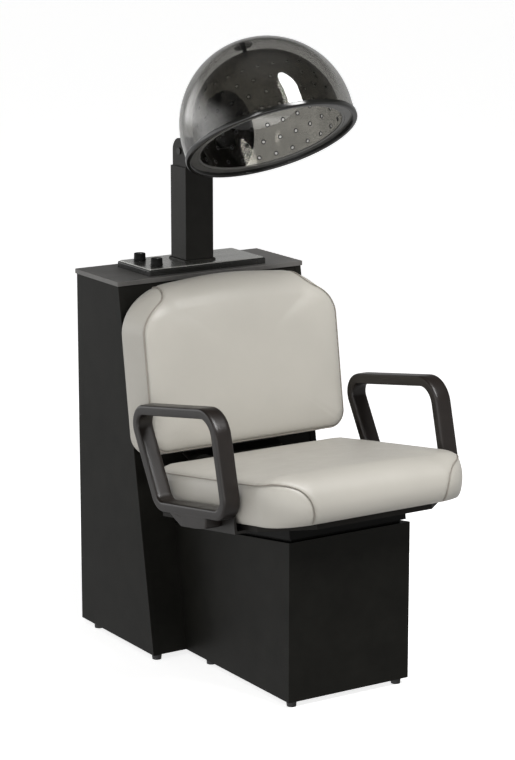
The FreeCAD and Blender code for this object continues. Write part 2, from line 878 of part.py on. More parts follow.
def dome_profile(radius, wall, foot_level):
    """A skirt and a half dome above it, as an outline to turn about the axis."""
    inner = "(%s - %s)" % (radius, wall)
    return [
        (inner, foot_level), (radius, foot_level),
        (radius, "dome_skirt", radius, "0", "dome_skirt", 1),
        ("0", "dome_skirt + " + radius),
        ("0", "dome_skirt + " + inner, inner, "0", "dome_skirt", -1),
        (inner, "dome_skirt")]


def duct_window(item):
    """The opening in the back of a dome, square to the dome's axis."""
    across = "duct_width + 2 * duct_fit"
    level = "dome_skirt + dome_radius * sin(hood_tilt - duct_rise)"
    tall = "duct_height / cos(hood_tilt - duct_rise) + 3 * dome_wall"
    pocket(item, "XZ_Plane", centred(across, tall, "0", level), "dome_radius", "dome_radius")


def dome_outer():
    item = body("dome_outer")
    revolve(item, dome_profile("dome_radius", "dome_wall", "0"))
    duct_window(item)
    pocket(item, "XY_Plane", ("0", "0", "post_radius + shaft_gap"), "2 * overrun", "dome_skirt + dome_radius")
    return in_hood(item)


def dome_liner():
    """Inner dome with rows of air holes. A quarter turn is a whole number of pitches and a
    half, so rows drawn on the two upright planes come out staggered."""
    item = body("dome_liner")
    revolve(item, dome_profile("liner_radius", "liner_wall", "ring_level + ring_thickness"))
    rows = [pocket(item, ("YZ_Plane", "XZ_Plane")[row % 2],
                   ("0", "vent_row_low + %d * vent_row_step" % row, "vent_hole_radius"),
                   "liner_radius", "liner_radius") for row in range(sizes["vent_rows"])]
    ring_of(item, rows, "vent_hole_count")
    return in_hood(item)


def rim_ring():
    item = body("rim_ring")
    inner = "liner_radius - liner_wall - ring_lap"
    outer = "dome_radius - dome_wall - shaft_gap"
    revolve(item, rectangle(inner, "ring_level", outer, "ring_level + ring_thickness"))
    return in_hood(item)


def rim_trim():
    """Dark channel that covers the outer dome's edge and carries the ring."""
    item = body("rim_trim")
    lip = "dome_radius - trim_lap"
    revolve(item, [
        (lip, "-trim_wall"), ("dome_radius + trim_wall", "-trim_wall"),
        ("dome_radius + trim_wall", "trim_height - trim_wall"),
        ("dome_radius + shaft_gap", "trim_height - trim_wall"),
        ("dome_radius + shaft_gap", "0"), (lip + " + trim_wall", "0"),
        (lip + " + trim_wall", "ring_level"), (lip, "ring_level")])
    return in_hood(item)


def centre_cap():
    """Cap on the dome's crown, with the post that spaces the two domes."""
    item = body("centre_cap")
    seat = "(dome_radius + shaft_gap)"
    under = "dome_skirt + sqrt(%s ^ 2 - cap_radius ^ 2)" % seat
    revolve(item, [
        ("0", "dome_skirt + liner_radius"), ("post_radius", "dome_skirt + liner_radius"),
        ("post_radius", "dome_skirt + sqrt(%s ^ 2 - post_radius ^ 2)" % seat,
         seat, "0", "dome_skirt", -1),
        ("cap_radius", under), ("cap_radius", under + " + column_sheet"),
        ("cap_radius - cap_height", "dome_skirt + dome_radius + cap_height"),
        ("0", "dome_skirt + dome_radius + cap_height")])
    return in_hood(item)


def duct_gasket():
    """Collar on the duct, hollowed to sit on the round dome."""
    collar = body("gasket_blank")
    shown.remove(collar)
    start = "hood_reach - dome_radius"
    pad(collar, "YZ_Plane", centred("3 * gasket_depth", "duct_height + 2 * gasket_width",
                                    "-(%s)" % start, "0"),
        "duct_width + 2 * gasket_width")
    soften(collar, "gasket_width / 2", lambda edge: runs_along(edge, DEEP))
    pocket(collar, "YZ_Plane", centred("6 * gasket_depth", "duct_height + 2 * shaft_gap",
                                       "-(%s)" % start, "0"), "duct_width + 2 * shaft_gap")
    place(collar, "0", "column_middle", "hinge_level", "duct_rise")
    ball = doc.addObject("Part::Sphere", "dome_ball")
    ball.setExpression("Radius", bind("dome_radius + shaft_gap"))
    place(ball, "0", "dome_middle", "dome_level")
    item = cut_away("duct_gasket", collar, ball)
    item.Label = "duct_gasket"
    return keep(item)


hood_duct()
dome_outer()
dome_liner()
rim_ring()
rim_trim()
centre_cap()
duct_gasket()


# Blower and heater, below the column

def blower_wheel():
    """Open wheel: back plate, hub, front ring and a ring of upright blades."""
    item = body("blower_wheel")
    rim = "(wheel_radius - blade_depth)"
    pad(item, "XY_Plane", ("0", "0", "wheel_radius"), "wheel_plate", "wheel_plate / 2")
    pad(item, "XY_Plane", ("0", "0", "wheel_hub_radius"), "wheel_width / 2", "wheel_width / 4")
    revolve(item, rectangle(rim, "wheel_width - wheel_plate", "wheel_radius", "wheel_width"))
    blade = pad(item, "XY_Plane", rectangle(rim, "-blade_thickness / 2",
                                            "wheel_radius - blade_thickness", "blade_thickness / 2"),
                "wheel_width - wheel_plate", "wheel_width / 2")
    ring_of(item, [blade], "blade_count")
    pocket(item, "XY_Plane", ("0", "0", "motor_shaft_radius + shaft_gap"), "3 * wheel_width")
    item.Placement = FreeCAD.Placement(FreeCAD.Vector(0, 0, 0), FreeCAD.Rotation(FreeCAD.Vector(1, 0, 0), 90))
    item.setExpression("Placement.Base.x", bind("-wheel_offset"))
    item.setExpression("Placement.Base.y", bind("wheel_middle + wheel_width / 2"))
    item.setExpression("Placement.Base.z", bind("wheel_level"))
    return item


def blower_scroll():
    """Flat drum housing with a square outlet at its top, open round the wheel's axis."""
    item = body("blower_scroll")
    low = "(scroll_radius + scroll_growth)"
    top = "(scroll_top - wheel_level)"
    inside = "scroll_width - 2 * scroll_wall"
    pad(item, "XZ_Plane", rectangle("-scroll_radius", "-" + low, "scroll_far", top), "scroll_width")
    soften(item, "scroll_radius", lambda edge: runs_along(edge, DEEP)
           and (edge.BoundBox.XMax < 0 or edge.BoundBox.ZMax < 0))
    pocket(item, "XZ_Plane", ("0", "0", "scroll_radius - scroll_wall"), inside)
    pocket(item, "XZ_Plane", rectangle("wheel_offset - air_width / 2", "0",
                                       "wheel_offset + air_width / 2", top + " + overrun"), inside)
    pocket(item, "XZ_Plane", ("0", "0", "wheel_radius * inlet_share"), "scroll_width",
           "-scroll_width / 2")
    pocket(item, "XZ_Plane", ("0", "0", "motor_shaft_radius + hole_gap"), "scroll_width",
           "scroll_width / 2")
    pad(item, "XZ_Plane", rectangle("-scroll_radius / 2", "-%s - scroll_foot" % low,
                                    "scroll_radius / 2", "-%s + scroll_wall" % low), "scroll_width")
    return place(item, "-wheel_offset", "wheel_middle", "wheel_level")


def motor():
    item = body("blower_motor")
    pad(item, "XZ_Plane", ("0", "0", "motor_radius"), "motor_length", "motor_length / 2")
    soften(item, "knob_round", lambda edge: at(edge.BoundBox.YMin, "motor_length"))
    pocket(item, "XZ_Plane", ("0", "0", "motor_shaft_radius + shaft_gap"), "3 * motor_length")
    return place(item, "-wheel_offset", "wheel_middle + scroll_width / 2", "wheel_level")


def motor_shaft():
    item = rod("motor_shaft", "motor_shaft_radius", "wheel_width / 2 + scroll_width / 2 + motor_length",
               ("-wheel_offset", "wheel_middle - wheel_width / 2", "wheel_level"), "Y")
    item.Label = "motor_shaft"
    return keep(item)


def heater_box():
    item = body("heater_box")
    outer_x = "air_width + 2 * heater_wall"
    outer_y = "air_depth + 2 * heater_wall"
    pad(item, "XY_Plane", centred(outer_x, outer_y, "0", "column_middle"),
        "heater_height", "scroll_top + heater_height / 2")
    pad(item, "XY_Plane", centred(outer_x + " + 2 * heater_flange", outer_y, "0", "column_middle"),
        "heater_wall", "scroll_top + heater_wall / 2")
    pocket(item, "XY_Plane", centred("core_width", "core_depth", "0", "column_middle"),
           "3 * heater_height", "scroll_top")
    return place(item)


def heater_element():
    """Ceramic rods across the heater box, joined by two end strips."""
    strip = ("heater_wall", "core_depth - 2 * board_gap", "heater_height / 2")
    start = "column_middle - core_depth / 2 + board_gap"
    level = "scroll_top + heater_height / 4"
    pieces = [
        block("element_strip", strip, ("-core_width / 2 + board_gap", start, level)),
        block("element_strip", strip, ("core_width / 2 - board_gap - heater_wall", start, level))]
    for number in range(sizes["rod_count"]):
        pieces.append(rod("element_rod", "rod_radius", "core_width - 2 * board_gap",
                          ("-core_width / 2 + board_gap",
                           "column_middle + rod_pitch * (%d - (rod_count - 1) / 2)" % number,
                           "scroll_top + heater_height / 2"), "X"))
    item = fuse("heater_element", pieces)
    item.Label = "heater_element"
    return keep(item)


def thermostat():
    item = rod("thermostat", "thermostat_radius", "thermostat_height",
               ("0", "column_middle - air_depth / 2 - heater_wall - thermostat_height",
                "scroll_top + heater_height * 0.75"), "Y")
    item.Label = "thermostat"
    return keep(item)


def air_duct():
    item = body("air_duct")
    low = "heater_top"
    tall = "plate_top + flange_height - heater_top"
    pad(item, "XY_Plane", centred("air_width", "air_depth", "0", "column_middle"),
        tall, "%s + (%s) / 2" % (low, tall))
    pocket(item, "XY_Plane", centred("air_width - 2 * air_duct_wall", "air_depth - 2 * air_duct_wall",
                                     "0", "column_middle"), "3 * column_height", low)
    return place(item)


def power_inlet():
    item = body("power_inlet")
    face = "cabinet_rear"
    pad(item, "XZ_Plane", centred("inlet_width", "inlet_height", "inlet_offset", "inlet_level"),
        "inlet_depth", face + " - inlet_depth / 2")
    pad(item, "XZ_Plane", centred("inlet_width + 2 * inlet_flange", "inlet_height + 2 * inlet_flange",
                                  "inlet_offset", "inlet_level"),
        "inlet_flange_thickness", face + " + inlet_flange_thickness / 2")
    pocket(item, "XZ_Plane", centred("inlet_width - inlet_flange", "inlet_height - inlet_flange",
                                     "inlet_offset", "inlet_level"),
           "2 * inlet_socket_depth", face + " + inlet_flange_thickness")
    return place(item)


blower_wheel()
blower_scroll()
motor()
motor_shaft()
heater_box()
heater_element()
thermostat()
air_duct()
power_inlet()


# Chair base

def base_side(label, side):
    item = body(label)
    pad(item, "YZ_Plane", [
        ("base_front + board", "foot_height"), ("face_foot", "foot_height"),
        ("base_rear_top", "foot_height + base_rear_rise"),
        ("base_front + board", "base_top - board * pitch_slope")],
        "board", "%d * (base_width / 2 - board / 2)" % side)
    return place(item)


def base_front_panel():
    item = body("base_front_panel")
    pad(item, "YZ_Plane", [
        ("base_front", "foot_height"), ("base_front + board", "foot_height"),
        ("base_front + board", "base_top - board * pitch_slope"), ("base_front", "base_top")],
        "base_width")
    soften(item, "board_round", lambda edge: runs_along(edge, UPRIGHT) and at(edge.BoundBox.YMin, "base_front"))
    return place(item)


def base_floor():
    item = body("base_floor")
    pad(item, "XY_Plane", rectangle("-base_width / 2 + board + board_gap", "base_front + board + board_gap",
                                    "base_width / 2 - board - board_gap", "face_foot - board_gap"),
        "board", "foot_height + board / 2")
    return place(item)


def base_top_board():
    item = body("base_top_board")
    pad(item, "XY_Plane", rectangle(
        "-base_width / 2 + board + board_gap", "board / cos(seat_pitch) + board_gap + board * pitch_slope",
        "base_width / 2 - board - board_gap", "base_top_run - board * front_slope"),
        "board", "-board / 2")
    return in_seat(item)


base_side("base_left_side", -1)
base_side("base_right_side", 1)
base_front_panel()
base_floor()
base_top_board()
group("base_feet", [foot(side, "base_width / 2", depth) for side in (-1, 1)
                    for depth in ("cabinet_front - base_foot_setback", "base_front + foot_inset")])


# Seat, in the pitched seat frame

# How far back the arm brackets' bolts stand, and where each bolt through the seat board is
ARM_BOLTS = ("bracket_front + bolt_inset", "bracket_front + bolt_inset + bolt_spacing")
BRACKET_BOLTS = [(across, along) for across in ("-bracket_bolt_offset", "bracket_bolt_offset")
                 for along in ARM_BOLTS]
FOOT_BOLTS = [(across, "support_bolt_line") for across in ("-seat_bolt_offset", "seat_bolt_offset")]


def seat_frame():
    item = body("seat_frame")
    half = "(base_width / 2 - frame_inset)"
    inner = "(base_width / 2 - frame_inset - frame_rail)"
    pad(item, "XY_Plane", rectangle("-" + half, "frame_inset", half, "frame_inset + frame_length"),
        "frame_height - plinth_height", "(frame_height + plinth_height) / 2")
    soften(item, "board_round", lambda edge: runs_along(edge, UPRIGHT))
    pad(item, "XY_Plane", rectangle("-%s + plinth_inset" % half, "frame_inset + plinth_inset",
                                    "%s - plinth_inset" % half, "frame_inset + frame_length - plinth_inset"),
        "plinth_height", "plinth_height / 2")
    pocket(item, "XY_Plane", rectangle("-" + inner, "frame_inset + frame_rail",
                                       inner, "frame_inset + frame_length - frame_rail"),
           "3 * frame_height")
    return in_seat(item)


def seat_board():
    item = body("seat_board")
    slant = "(seat_board_half - seat_board_corner)"
    pad(item, "XY_Plane", [
        ("-seat_board_half", "seat_board_rear"), ("-seat_board_half", "seat_board_corner - seat_board_front"),
        ("-" + slant, "-seat_board_front"), (slant, "-seat_board_front"),
        ("seat_board_half", "seat_board_corner - seat_board_front"), ("seat_board_half", "seat_board_rear")],
        "seat_board", "frame_height + seat_board / 2")
    for across, along in BRACKET_BOLTS + FOOT_BOLTS:
        pocket(item, "XY_Plane", (across, along, "bolt_radius + shaft_gap"), "overrun", "frame_height")
    return in_seat(item)


# Cushions: each has a boxing between two seams and a crowned panel

EIGHTH_TURN = math.pi / 4
# height share, then the shares of the draw-in at the sides and at the front
BOXING_CURVE = ((0, 1, 1), (0.22, 0.35, 0.5), (0.55, 0, 0), (1, 0.15, 0.45))
# height share and the share of the crown's reach
CROWN_CURVE = ((0, 0), (0.34, 0.035), (0.63, 0.12), (0.86, 0.32), (0.975, 0.64), (1, 1))


def rounded_wire(to_point, half, low, high, low_radius, high_radius):
    """Closed outline with two corners of each radius; to_point gives its vectors."""
    arcs = []
    for side, end in ((1, -1), (1, 1), (-1, 1), (-1, -1)):
        radius = low_radius if end < 0 else high_radius
        across = side * (half - radius)
        up = low + radius if end < 0 else high - radius
        middle = math.atan2(end, side)
        arcs.append([to_point(across + radius * math.cos(middle + turn),
                              up + radius * math.sin(middle + turn))
                     for turn in (-EIGHTH_TURN, 0, EIGHTH_TURN)])
    edges = []
    for index, points in enumerate(arcs):
        edges.append(Part.Arc(*points).toShape())
        edges.append(Part.LineSegment(points[-1], arcs[(index + 1) % len(arcs)][0]).toShape())
    return Part.Wire(edges)


def crown_sections(half, low, high):
    """Height share, inset from the seam and share of the corner radii, section by section."""
    reach = value("crown_share") * min(half, (high - low) / 2)
    return [(height, reach * share, 1 - value("corner_share") * share)
            for height, share in CROWN_CURVE]


def cushion(label, boxing, crown):
    """Joins a lofted boxing and a lofted crown that share the seam between them."""
    item = doc.addObject("Part::Feature", label)
    item.Label = label
    item.Shape = Part.makeLoft(boxing, True).fuse(Part.makeLoft(crown, True))
    return keep(item)


def seat_cushion():
    half = value("seat_half")
    front = -value("seat_front")
    rear = value("seat_rear")
    low = value("board_top")

    def section(level, side_draw, front_draw):
        drawn = value("seat_side_draw") * side_draw
        ahead = value("seat_front_draw") * front_draw
        return rounded_wire(lambda across, along: FreeCAD.Vector(across, along, level),
                            half - drawn, front + ahead, rear - drawn,
                            value("seat_corner"), value("seat_rear_corner"))

    seam_shares = BOXING_CURVE[-1]
    boxing = [section(low + value("seat_seam") * height, side, ahead)
              for height, side, ahead in BOXING_CURVE]
    crown = []
    for height, inset, rounding in crown_sections(half, front, rear):
        drawn = value("seat_side_draw") * seam_shares[1] + inset
        ahead = value("seat_front_draw") * seam_shares[2] + inset
        level = low + value("seat_seam") + value("seat_crown") * height
        crown.append(rounded_wire(
            lambda across, along: FreeCAD.Vector(across, along, level),
            half - drawn, front + ahead, rear - drawn,
            value("seat_corner") * rounding, value("seat_rear_corner") * rounding))
    return in_seat(cushion("seat_cushion", boxing, crown))


def back_cushion():
    half = value("back_half")
    low = value("back_low")
    high = value("back_high")

    def section(along, inset, rounding):
        return rounded_wire(
            lambda across, up: FreeCAD.Vector(across, along, up),
            half - inset, low + inset, high - inset,
            value("back_low_corner") * rounding, value("back_top_corner") * rounding)

    seam = value("back_face")
    drawn = value("back_side_draw")
    boxing = [section(seam + value("back_depth") * depth, drawn * draw, 1)
              for depth, draw in BACK_CURVE]
    crown = [section(seam - value("back_crown") * height, drawn + inset, rounding)
             for height, inset, rounding in crown_sections(half, low, high)]
    return in_seat(cushion("back_cushion", boxing, crown))


# depth share and the share of the draw-in towards the front seam and the back board
BACK_CURVE = ((0, 1), (0.3, 0.4), (0.7, 0), (1, 0.2))

seat_frame()
seat_board()
seat_cushion()
back_cushion()


# Back board and its support

def back_board():
    item = body("back_board")
    half = "(back_half - back_board_inset)"
    low = "(back_low + back_board_inset)"
    high = "(back_high - back_board_inset)"
    pad(item, "XZ_Plane", rectangle("-" + half, low, half, high),
        "back_board", "back_rear + back_board / 2")
    soften(item, "back_top_corner - back_board_inset",
           lambda edge: runs_along(edge, DEEP) and at(edge.BoundBox.ZMin, high))
    soften(item, "back_low_corner - back_board_inset",
           lambda edge: runs_along(edge, DEEP) and at(edge.BoundBox.ZMin, low))
    for across, up in BACK_BOLTS:
        pocket(item, "XZ_Plane", (across, up, "bolt_radius + shaft_gap"),
               "overrun", "back_rear + back_board / 2")
    return in_seat(item)


def support_plate():
    """Bent plate: a foot under the seat board, a joggle, and an upright behind the back."""
    item = body("support_plate")
    foot_front = "frame_inset + frame_length + hole_gap"
    under = "frame_height - support_plate"
    pad(item, "YZ_Plane", [
        (foot_front, under), ("support_stand", under), ("support_stand", "support_joggle"),
        ("support_rear", "support_joggle + support_step"), ("support_rear", "support_high"),
        ("support_face", "support_high"),
        ("support_face", "support_joggle + support_step + support_rise"),
        ("support_stand - support_plate", "support_joggle + support_rise"),
        ("support_stand - support_plate", "frame_height"), (foot_front, "frame_height")],
        "support_width")
    for across, up in BACK_BOLTS:
        pocket(item, "XZ_Plane", (across, up, "bolt_radius + shaft_gap"), "overrun", "support_face")
    for across, along in FOOT_BOLTS:
        pocket(item, "XY_Plane", (across, along, "bolt_radius + shaft_gap"), "overrun", "frame_height")
    return in_seat(item)


def support_cover():
    """Black moulded cap in front of the support plate."""
    item = body("support_cover")
    middle = "support_stand - support_plate - cover_thickness / 2 - bracket_gap"
    pad(item, "XZ_Plane", ("-cover_offset", "cover_level", "cover_radius"), "cover_thickness", middle)
    pad(item, "XZ_Plane", rectangle("-cover_offset", "board_top", "cover_end", "cover_level + cover_bar"),
        "cover_thickness", middle)
    return in_seat(item)


# Where the back's bolts stand
BACK_BOLTS = [(across, up) for across in ("-back_bolt_offset", "back_bolt_offset")
              for up in ("support_high - back_bolt_drop", "support_high - 3 * back_bolt_drop")]

back_board()
support_plate()
support_cover()


# Arms

def corner_near(across, up):
    """Picks the edge along X that stands at a corner of an arm's outline."""
    return lambda edge: (runs_along(edge, ACROSS) and at(edge.BoundBox.YMin, across)
                         and at(edge.BoundBox.ZMin, up))


def arm(label, side):
    """Moulded loop: an upright and a leaning leg between two bars, with a tab below."""
    item = body(label)
    middle = "%d * (arm_inner + arm_width / 2)" % side
    outer = [("arm_front", "arm_low"), ("tab_front", "arm_low"),
             ("tab_front + tab_round", "tab_level"), ("tab_rear - tab_run", "tab_level"),
             ("tab_rear", "arm_low"), ("arm_rear", "arm_low"),
             ("arm_top_rear", "arm_high"), ("arm_top_front", "arm_front_high")]
    pad(item, "YZ_Plane", outer, "arm_width", middle)
    big = [outer[0]] + outer[5:7]
    small = outer[1:5]
    soften(item, "arm_front_corner", corner_near(*outer[-1]))
    soften(item, "arm_corner", lambda edge: any(corner_near(*spot)(edge) for spot in big))
    soften(item, "tab_round", lambda edge: any(corner_near(*spot)(edge) for spot in small))
    front = "arm_front + arm_bar / cos(arm_front_lean)"
    rear = "arm_rear - arm_bar / cos(arm_rear_lean)"
    inner = [
        (front + " + arm_bar * tan(arm_front_lean)", "arm_low + arm_bar"),
        (rear + " + arm_bar * tan(arm_rear_lean)", "arm_low + arm_bar"),
        (rear + " + (arm_high - arm_low - arm_bar) * tan(arm_rear_lean)", "arm_high - arm_bar"),
        (front + " + (arm_front_high - arm_low - arm_bar) * tan(arm_front_lean)",
         "arm_front_high - arm_bar")]
    pocket(item, "YZ_Plane", inner, "overrun + arm_width", middle)
    soften(item, "arm_front_corner - arm_bar", corner_near(*inner[-1]))
    soften(item, "arm_corner - arm_bar", lambda edge: any(corner_near(*spot)(edge) for spot in inner[:3]))
    flat = ("arm_inner", "arm_half") if side > 0 else ("-arm_half", "-arm_inner")
    soften(item, "arm_round", lambda edge: edge.BoundBox.XLength < EVEN
           and (at(edge.BoundBox.XMin, flat[0]) or at(edge.BoundBox.XMin, flat[1])))
    for along in ARM_BOLTS:
        pocket(item, "YZ_Plane", (along, "arm_bolt_level", "bolt_radius + shaft_gap"),
               "2 * bolt_grip", "%d * arm_inner" % side)
    return in_seat(item)


def arm_bracket(label, side):
    """Steel angle from the seat board's underside to the arm's inner face."""
    item = body(label)
    under = "frame_height - bracket"
    pad(item, "XZ_Plane", [
        ("%d * bracket_inner" % side, under), ("%d * arm_inner" % side, under),
        ("%d * arm_inner" % side, "under_bracket + bracket_height"),
        ("%d * (arm_inner - bracket)" % side, "under_bracket + bracket_height"),
        ("%d * (arm_inner - bracket)" % side, "frame_height"),
        ("%d * bracket_inner" % side, "frame_height")],
        "bracket_length", "bracket_front + bracket_length / 2")
    for along in ARM_BOLTS:
        pocket(item, "YZ_Plane", (along, "arm_bolt_level", "bolt_radius + shaft_gap"),
               "2 * bolt_grip", "%d * arm_inner" % side)
        pocket(item, "XY_Plane", ("%d * bracket_bolt_offset" % side, along, "bolt_radius + shaft_gap"),
               "overrun", "frame_height")
    return in_seat(item)


for word, side in (("left", -1), ("right", 1)):
    arm("arm_" + word, side)
    arm_bracket("arm_bracket_" + word, side)


# Bolts

def bolt(label, head, axis, turn, grip):
    """A bolt whose head's seat is at the point head. Turn is 1 where the shank runs up the
    axis and -1 where it runs down."""
    along = "XYZ".index(axis)
    shank = list(head)
    crown = list(head)
    if turn < 0:
        shank[along] = "%s - (%s)" % (head[along], grip)
    else:
        crown[along] = "%s - bolt_head" % head[along]
    pieces = [rod(label + "_shank", "bolt_radius", grip, shank, axis),
              rod(label + "_head", "bolt_head_radius", "bolt_head", crown, axis)]
    return fuse(label, pieces)


in_seat(group("arm_bolts", [
    bolt("arm_bolt", ("%d * (arm_inner - bracket)" % side, along, "arm_bolt_level"), "X", side,
         "bracket + bolt_grip - hole_gap")
    for side in (-1, 1) for along in ARM_BOLTS]))
in_seat(group("back_bolts", [
    bolt("back_bolt", (across, "support_rear", up), "Y", -1, "support_plate + back_board")
    for across, up in BACK_BOLTS]))
in_seat(group("seat_bolts", [
    bolt("seat_bolt", spot + ("frame_height - bracket",), "Z", 1, "bracket + seat_board - hole_gap")
    for spot in BRACKET_BOLTS] + [
    bolt("seat_bolt", spot + ("frame_height - support_plate",), "Z", 1,
         "support_plate + seat_board - hole_gap") for spot in FOOT_BOLTS]))

# Check and write every sub-part

doc.recompute()
for item in doc.Objects:
    if "Invalid" in item.State or "Error" in item.State:
        raise RuntimeError("%s did not build" % item.Label)
for item in shown:
    shape = item.Shape
    if shape.isNull() or not shape.isValid() or shape.Volume <= 0:
        raise RuntimeError("%s has no sound shape" % item.Label)
    shape.exportStep("parts/%s.step" % item.Label)
print("wrote", len(shown), "sub-parts")
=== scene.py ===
# Hooded dryer chair: shapes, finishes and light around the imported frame.
import json
import math
import bpy
import bmesh
import numpy as np
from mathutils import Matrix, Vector


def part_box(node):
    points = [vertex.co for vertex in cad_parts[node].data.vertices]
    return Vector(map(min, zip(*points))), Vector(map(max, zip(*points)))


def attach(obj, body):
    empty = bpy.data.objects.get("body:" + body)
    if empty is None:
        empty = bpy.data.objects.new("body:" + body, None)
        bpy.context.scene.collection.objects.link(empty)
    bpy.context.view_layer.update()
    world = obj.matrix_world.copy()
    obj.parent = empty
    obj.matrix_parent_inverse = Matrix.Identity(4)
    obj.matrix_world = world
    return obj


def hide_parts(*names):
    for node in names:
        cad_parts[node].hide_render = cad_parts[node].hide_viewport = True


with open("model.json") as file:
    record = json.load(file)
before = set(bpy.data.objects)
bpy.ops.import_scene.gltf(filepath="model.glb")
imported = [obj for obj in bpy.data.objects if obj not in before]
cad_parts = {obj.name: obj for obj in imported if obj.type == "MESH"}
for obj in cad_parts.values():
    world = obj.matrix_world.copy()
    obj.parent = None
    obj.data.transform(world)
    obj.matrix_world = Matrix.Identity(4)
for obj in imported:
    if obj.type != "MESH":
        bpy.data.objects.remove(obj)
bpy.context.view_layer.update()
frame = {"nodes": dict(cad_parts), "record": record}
cadNodes = frame["nodes"]
mm = 0.001
print("frame in place:", len(cadNodes), "nodes")

# two frames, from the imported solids: the seat's starts at the top front edge of the box base and
# is tipped back by its pitch, and the hood's starts at the rim's centre with Z along its axis
seatFrame = {"front": -0.3267, "level": 0.3775, "pitch": 8.5}
hoodFrame = {"front": -0.00922, "level": 1.19892, "pitch": 31.0}


def intoFrame(points, place):
    # millimetres of a frame to metres of the scene, turned about X by the pitch p, front edge up:
    # y = front + v cos p + w sin p, z = level + w cos p - v sin p
    points = points * mm
    turn = math.radians(place["pitch"])
    along, up = points[..., 1], points[..., 2]
    return np.stack([points[..., 0],
                     place["front"] + along * math.cos(turn) + up * math.sin(turn),
                     place["level"] + up * math.cos(turn) - along * math.sin(turn)], axis=-1)


def gridFaces(rows, cols, closedAcross, start=0, skip=None):
    # quads between neighbours of a rows x cols grid. The columns may close into a ring, and a
    # mask may leave quads out
    lastCol = cols if closedAcross else cols - 1
    r, c = np.meshgrid(np.arange(rows - 1), np.arange(lastCol), indexing="ij")
    if skip is not None:
        wanted = ~skip[:rows - 1, :lastCol]
        r, c = r[wanted], c[wanted]
    r, c = r.ravel(), c.ravel()
    beside = (c + 1) % cols
    corners = [r * cols + c, r * cols + beside, (r + 1) * cols + beside, (r + 1) * cols + c]
    return np.stack(corners, axis=-1) + start


def addObject(name, data):
    # a new object in the scene
    thing = bpy.data.objects.new(name, data)
    bpy.context.scene.collection.objects.link(thing)
    return thing


def buildMesh(name, points, quads, mergeBelow):
    # puts plain arrays into a mesh, joins its seams and poles, and points its faces outwards
    mesh = bpy.data.meshes.new(name)
    mesh.vertices.add(len(points))
    mesh.vertices.foreach_set("co", np.ascontiguousarray(points, dtype=np.float32).ravel())
    mesh.loops.add(quads.size)
    mesh.loops.foreach_set("vertex_index", quads.astype(np.int32).ravel())
    mesh.polygons.add(len(quads))
    mesh.polygons.foreach_set("loop_start", np.arange(0, quads.size, 4, dtype=np.int32))
    mesh.update(calc_edges=True)
    work = bmesh.new()
    work.from_mesh(mesh)
    bmesh.ops.remove_doubles(work, verts=work.verts, dist=mergeBelow)
    bmesh.ops.dissolve_degenerate(work, dist=mergeBelow, edges=work.edges)
    bmesh.ops.recalc_face_normals(work, faces=work.faces)
    work.to_mesh(mesh)
    work.free()
    smoothFaces(mesh)
    return addObject(name, mesh)


def smoothFaces(mesh):
    # shades every face smoothly
    mesh.polygons.foreach_set("use_smooth", np.ones(len(mesh.polygons), dtype=bool))
    mesh.update()


def surfacePiece(name, patches, mergeBelow=1e-6):
    # one mesh from patches: each is a grid of points, whether its columns close, and perhaps a
    # mask of the quads to leave out
    points, quads, start = [], [], 0
    for grid, closedAcross, *skip in patches:
        rows, cols = grid.shape[:2]
        points.append(grid.reshape(-1, 3))
        quads.append(gridFaces(rows, cols, closedAcross, start, *skip))
        start += rows * cols
    return buildMesh(name, np.concatenate(points), np.concatenate(quads), mergeBelow)


def pieceIn(place, name, patches, mergeBelow=1e-6):
    # the same for patches in millimetres of the seat's or the hood's frame
    return surfacePiece(name, [(intoFrame(grid, place), *rest) for grid, *rest in patches], mergeBelow)


def sharpen(piece, angle):
    # marks edges sharper than the angle so that smooth shading stops there
    work = bmesh.new()
    work.from_mesh(piece.data)
    for edge in work.edges:
        if len(edge.link_faces) == 2 and edge.calc_face_angle(0.0) > math.radians(angle):
            edge.smooth = False
    work.to_mesh(piece.data)
    work.free()
    return piece


def anglesRound(count):
    # equal steps once round, in radians
    return np.linspace(0, 2 * math.pi, count, endpoint=False)


def unit(vectors):
    # each vector by its own length
    return vectors / np.linalg.norm(vectors, axis=-1, keepdims=True)


def turnedProfile(profile, around):
    # revolves a (radius, height) profile about Z: x = r cos a, y = r sin a, z = h
    angles = anglesRound(around)
    radius, height = profile[:, 0][:, None], profile[:, 1][:, None]
    return np.stack([radius * np.cos(angles), radius * np.sin(angles), height + 0 * angles], axis=-1)


def roundedProfile(corners, bends, steps):
    # walks a polyline and replaces each inner corner by the quadratic bend
    # p = (1 - t)^2 a + 2 t (1 - t) corner + t^2 b, with a and b one bend away from the corner
    corners = np.asarray(corners, float)
    t = np.linspace(0, 1, steps)[:, None]
    out = [corners[0]]
    for before, here, after, bend in zip(corners[:-2], corners[1:-1], corners[2:], bends[1:-1]):
        back, ahead = before - here, after - here
        backLength, aheadLength = np.linalg.norm(back), np.linalg.norm(ahead)
        r = min(bend, 0.499 * backLength, 0.499 * aheadLength)  # bends never meet
        a, b = here + back / backLength * r, here + ahead / aheadLength * r
        out.extend((1 - t) ** 2 * a + 2 * t * (1 - t) * here + t ** 2 * b)
    out.append(corners[-1])
    return np.array(out)


def tubeAlong(path, radius, around):
    # carries a circle along an open path: p + radius * (cos a * side + sin a * over), where side
    # and over are square to the path's direction
    ahead = unit(np.gradient(path, axis=0))
    guide = np.array([0.31, 0.22, 0.93])  # a direction that no seam runs along
    side = unit(np.cross(ahead, guide))
    over = np.cross(side, ahead)
    a = anglesRound(around)[None, :, None]
    return path[:, None, :] + radius * (np.cos(a) * side[:, None, :] + np.sin(a) * over[:, None, :])


def smoothStep(low, high, value):
    # rises from 0 at low to 1 at high along 3t^2 - 2t^3
    t = np.clip((value - low) / (high - low), 0, 1)
    return t * t * (3 - 2 * t)


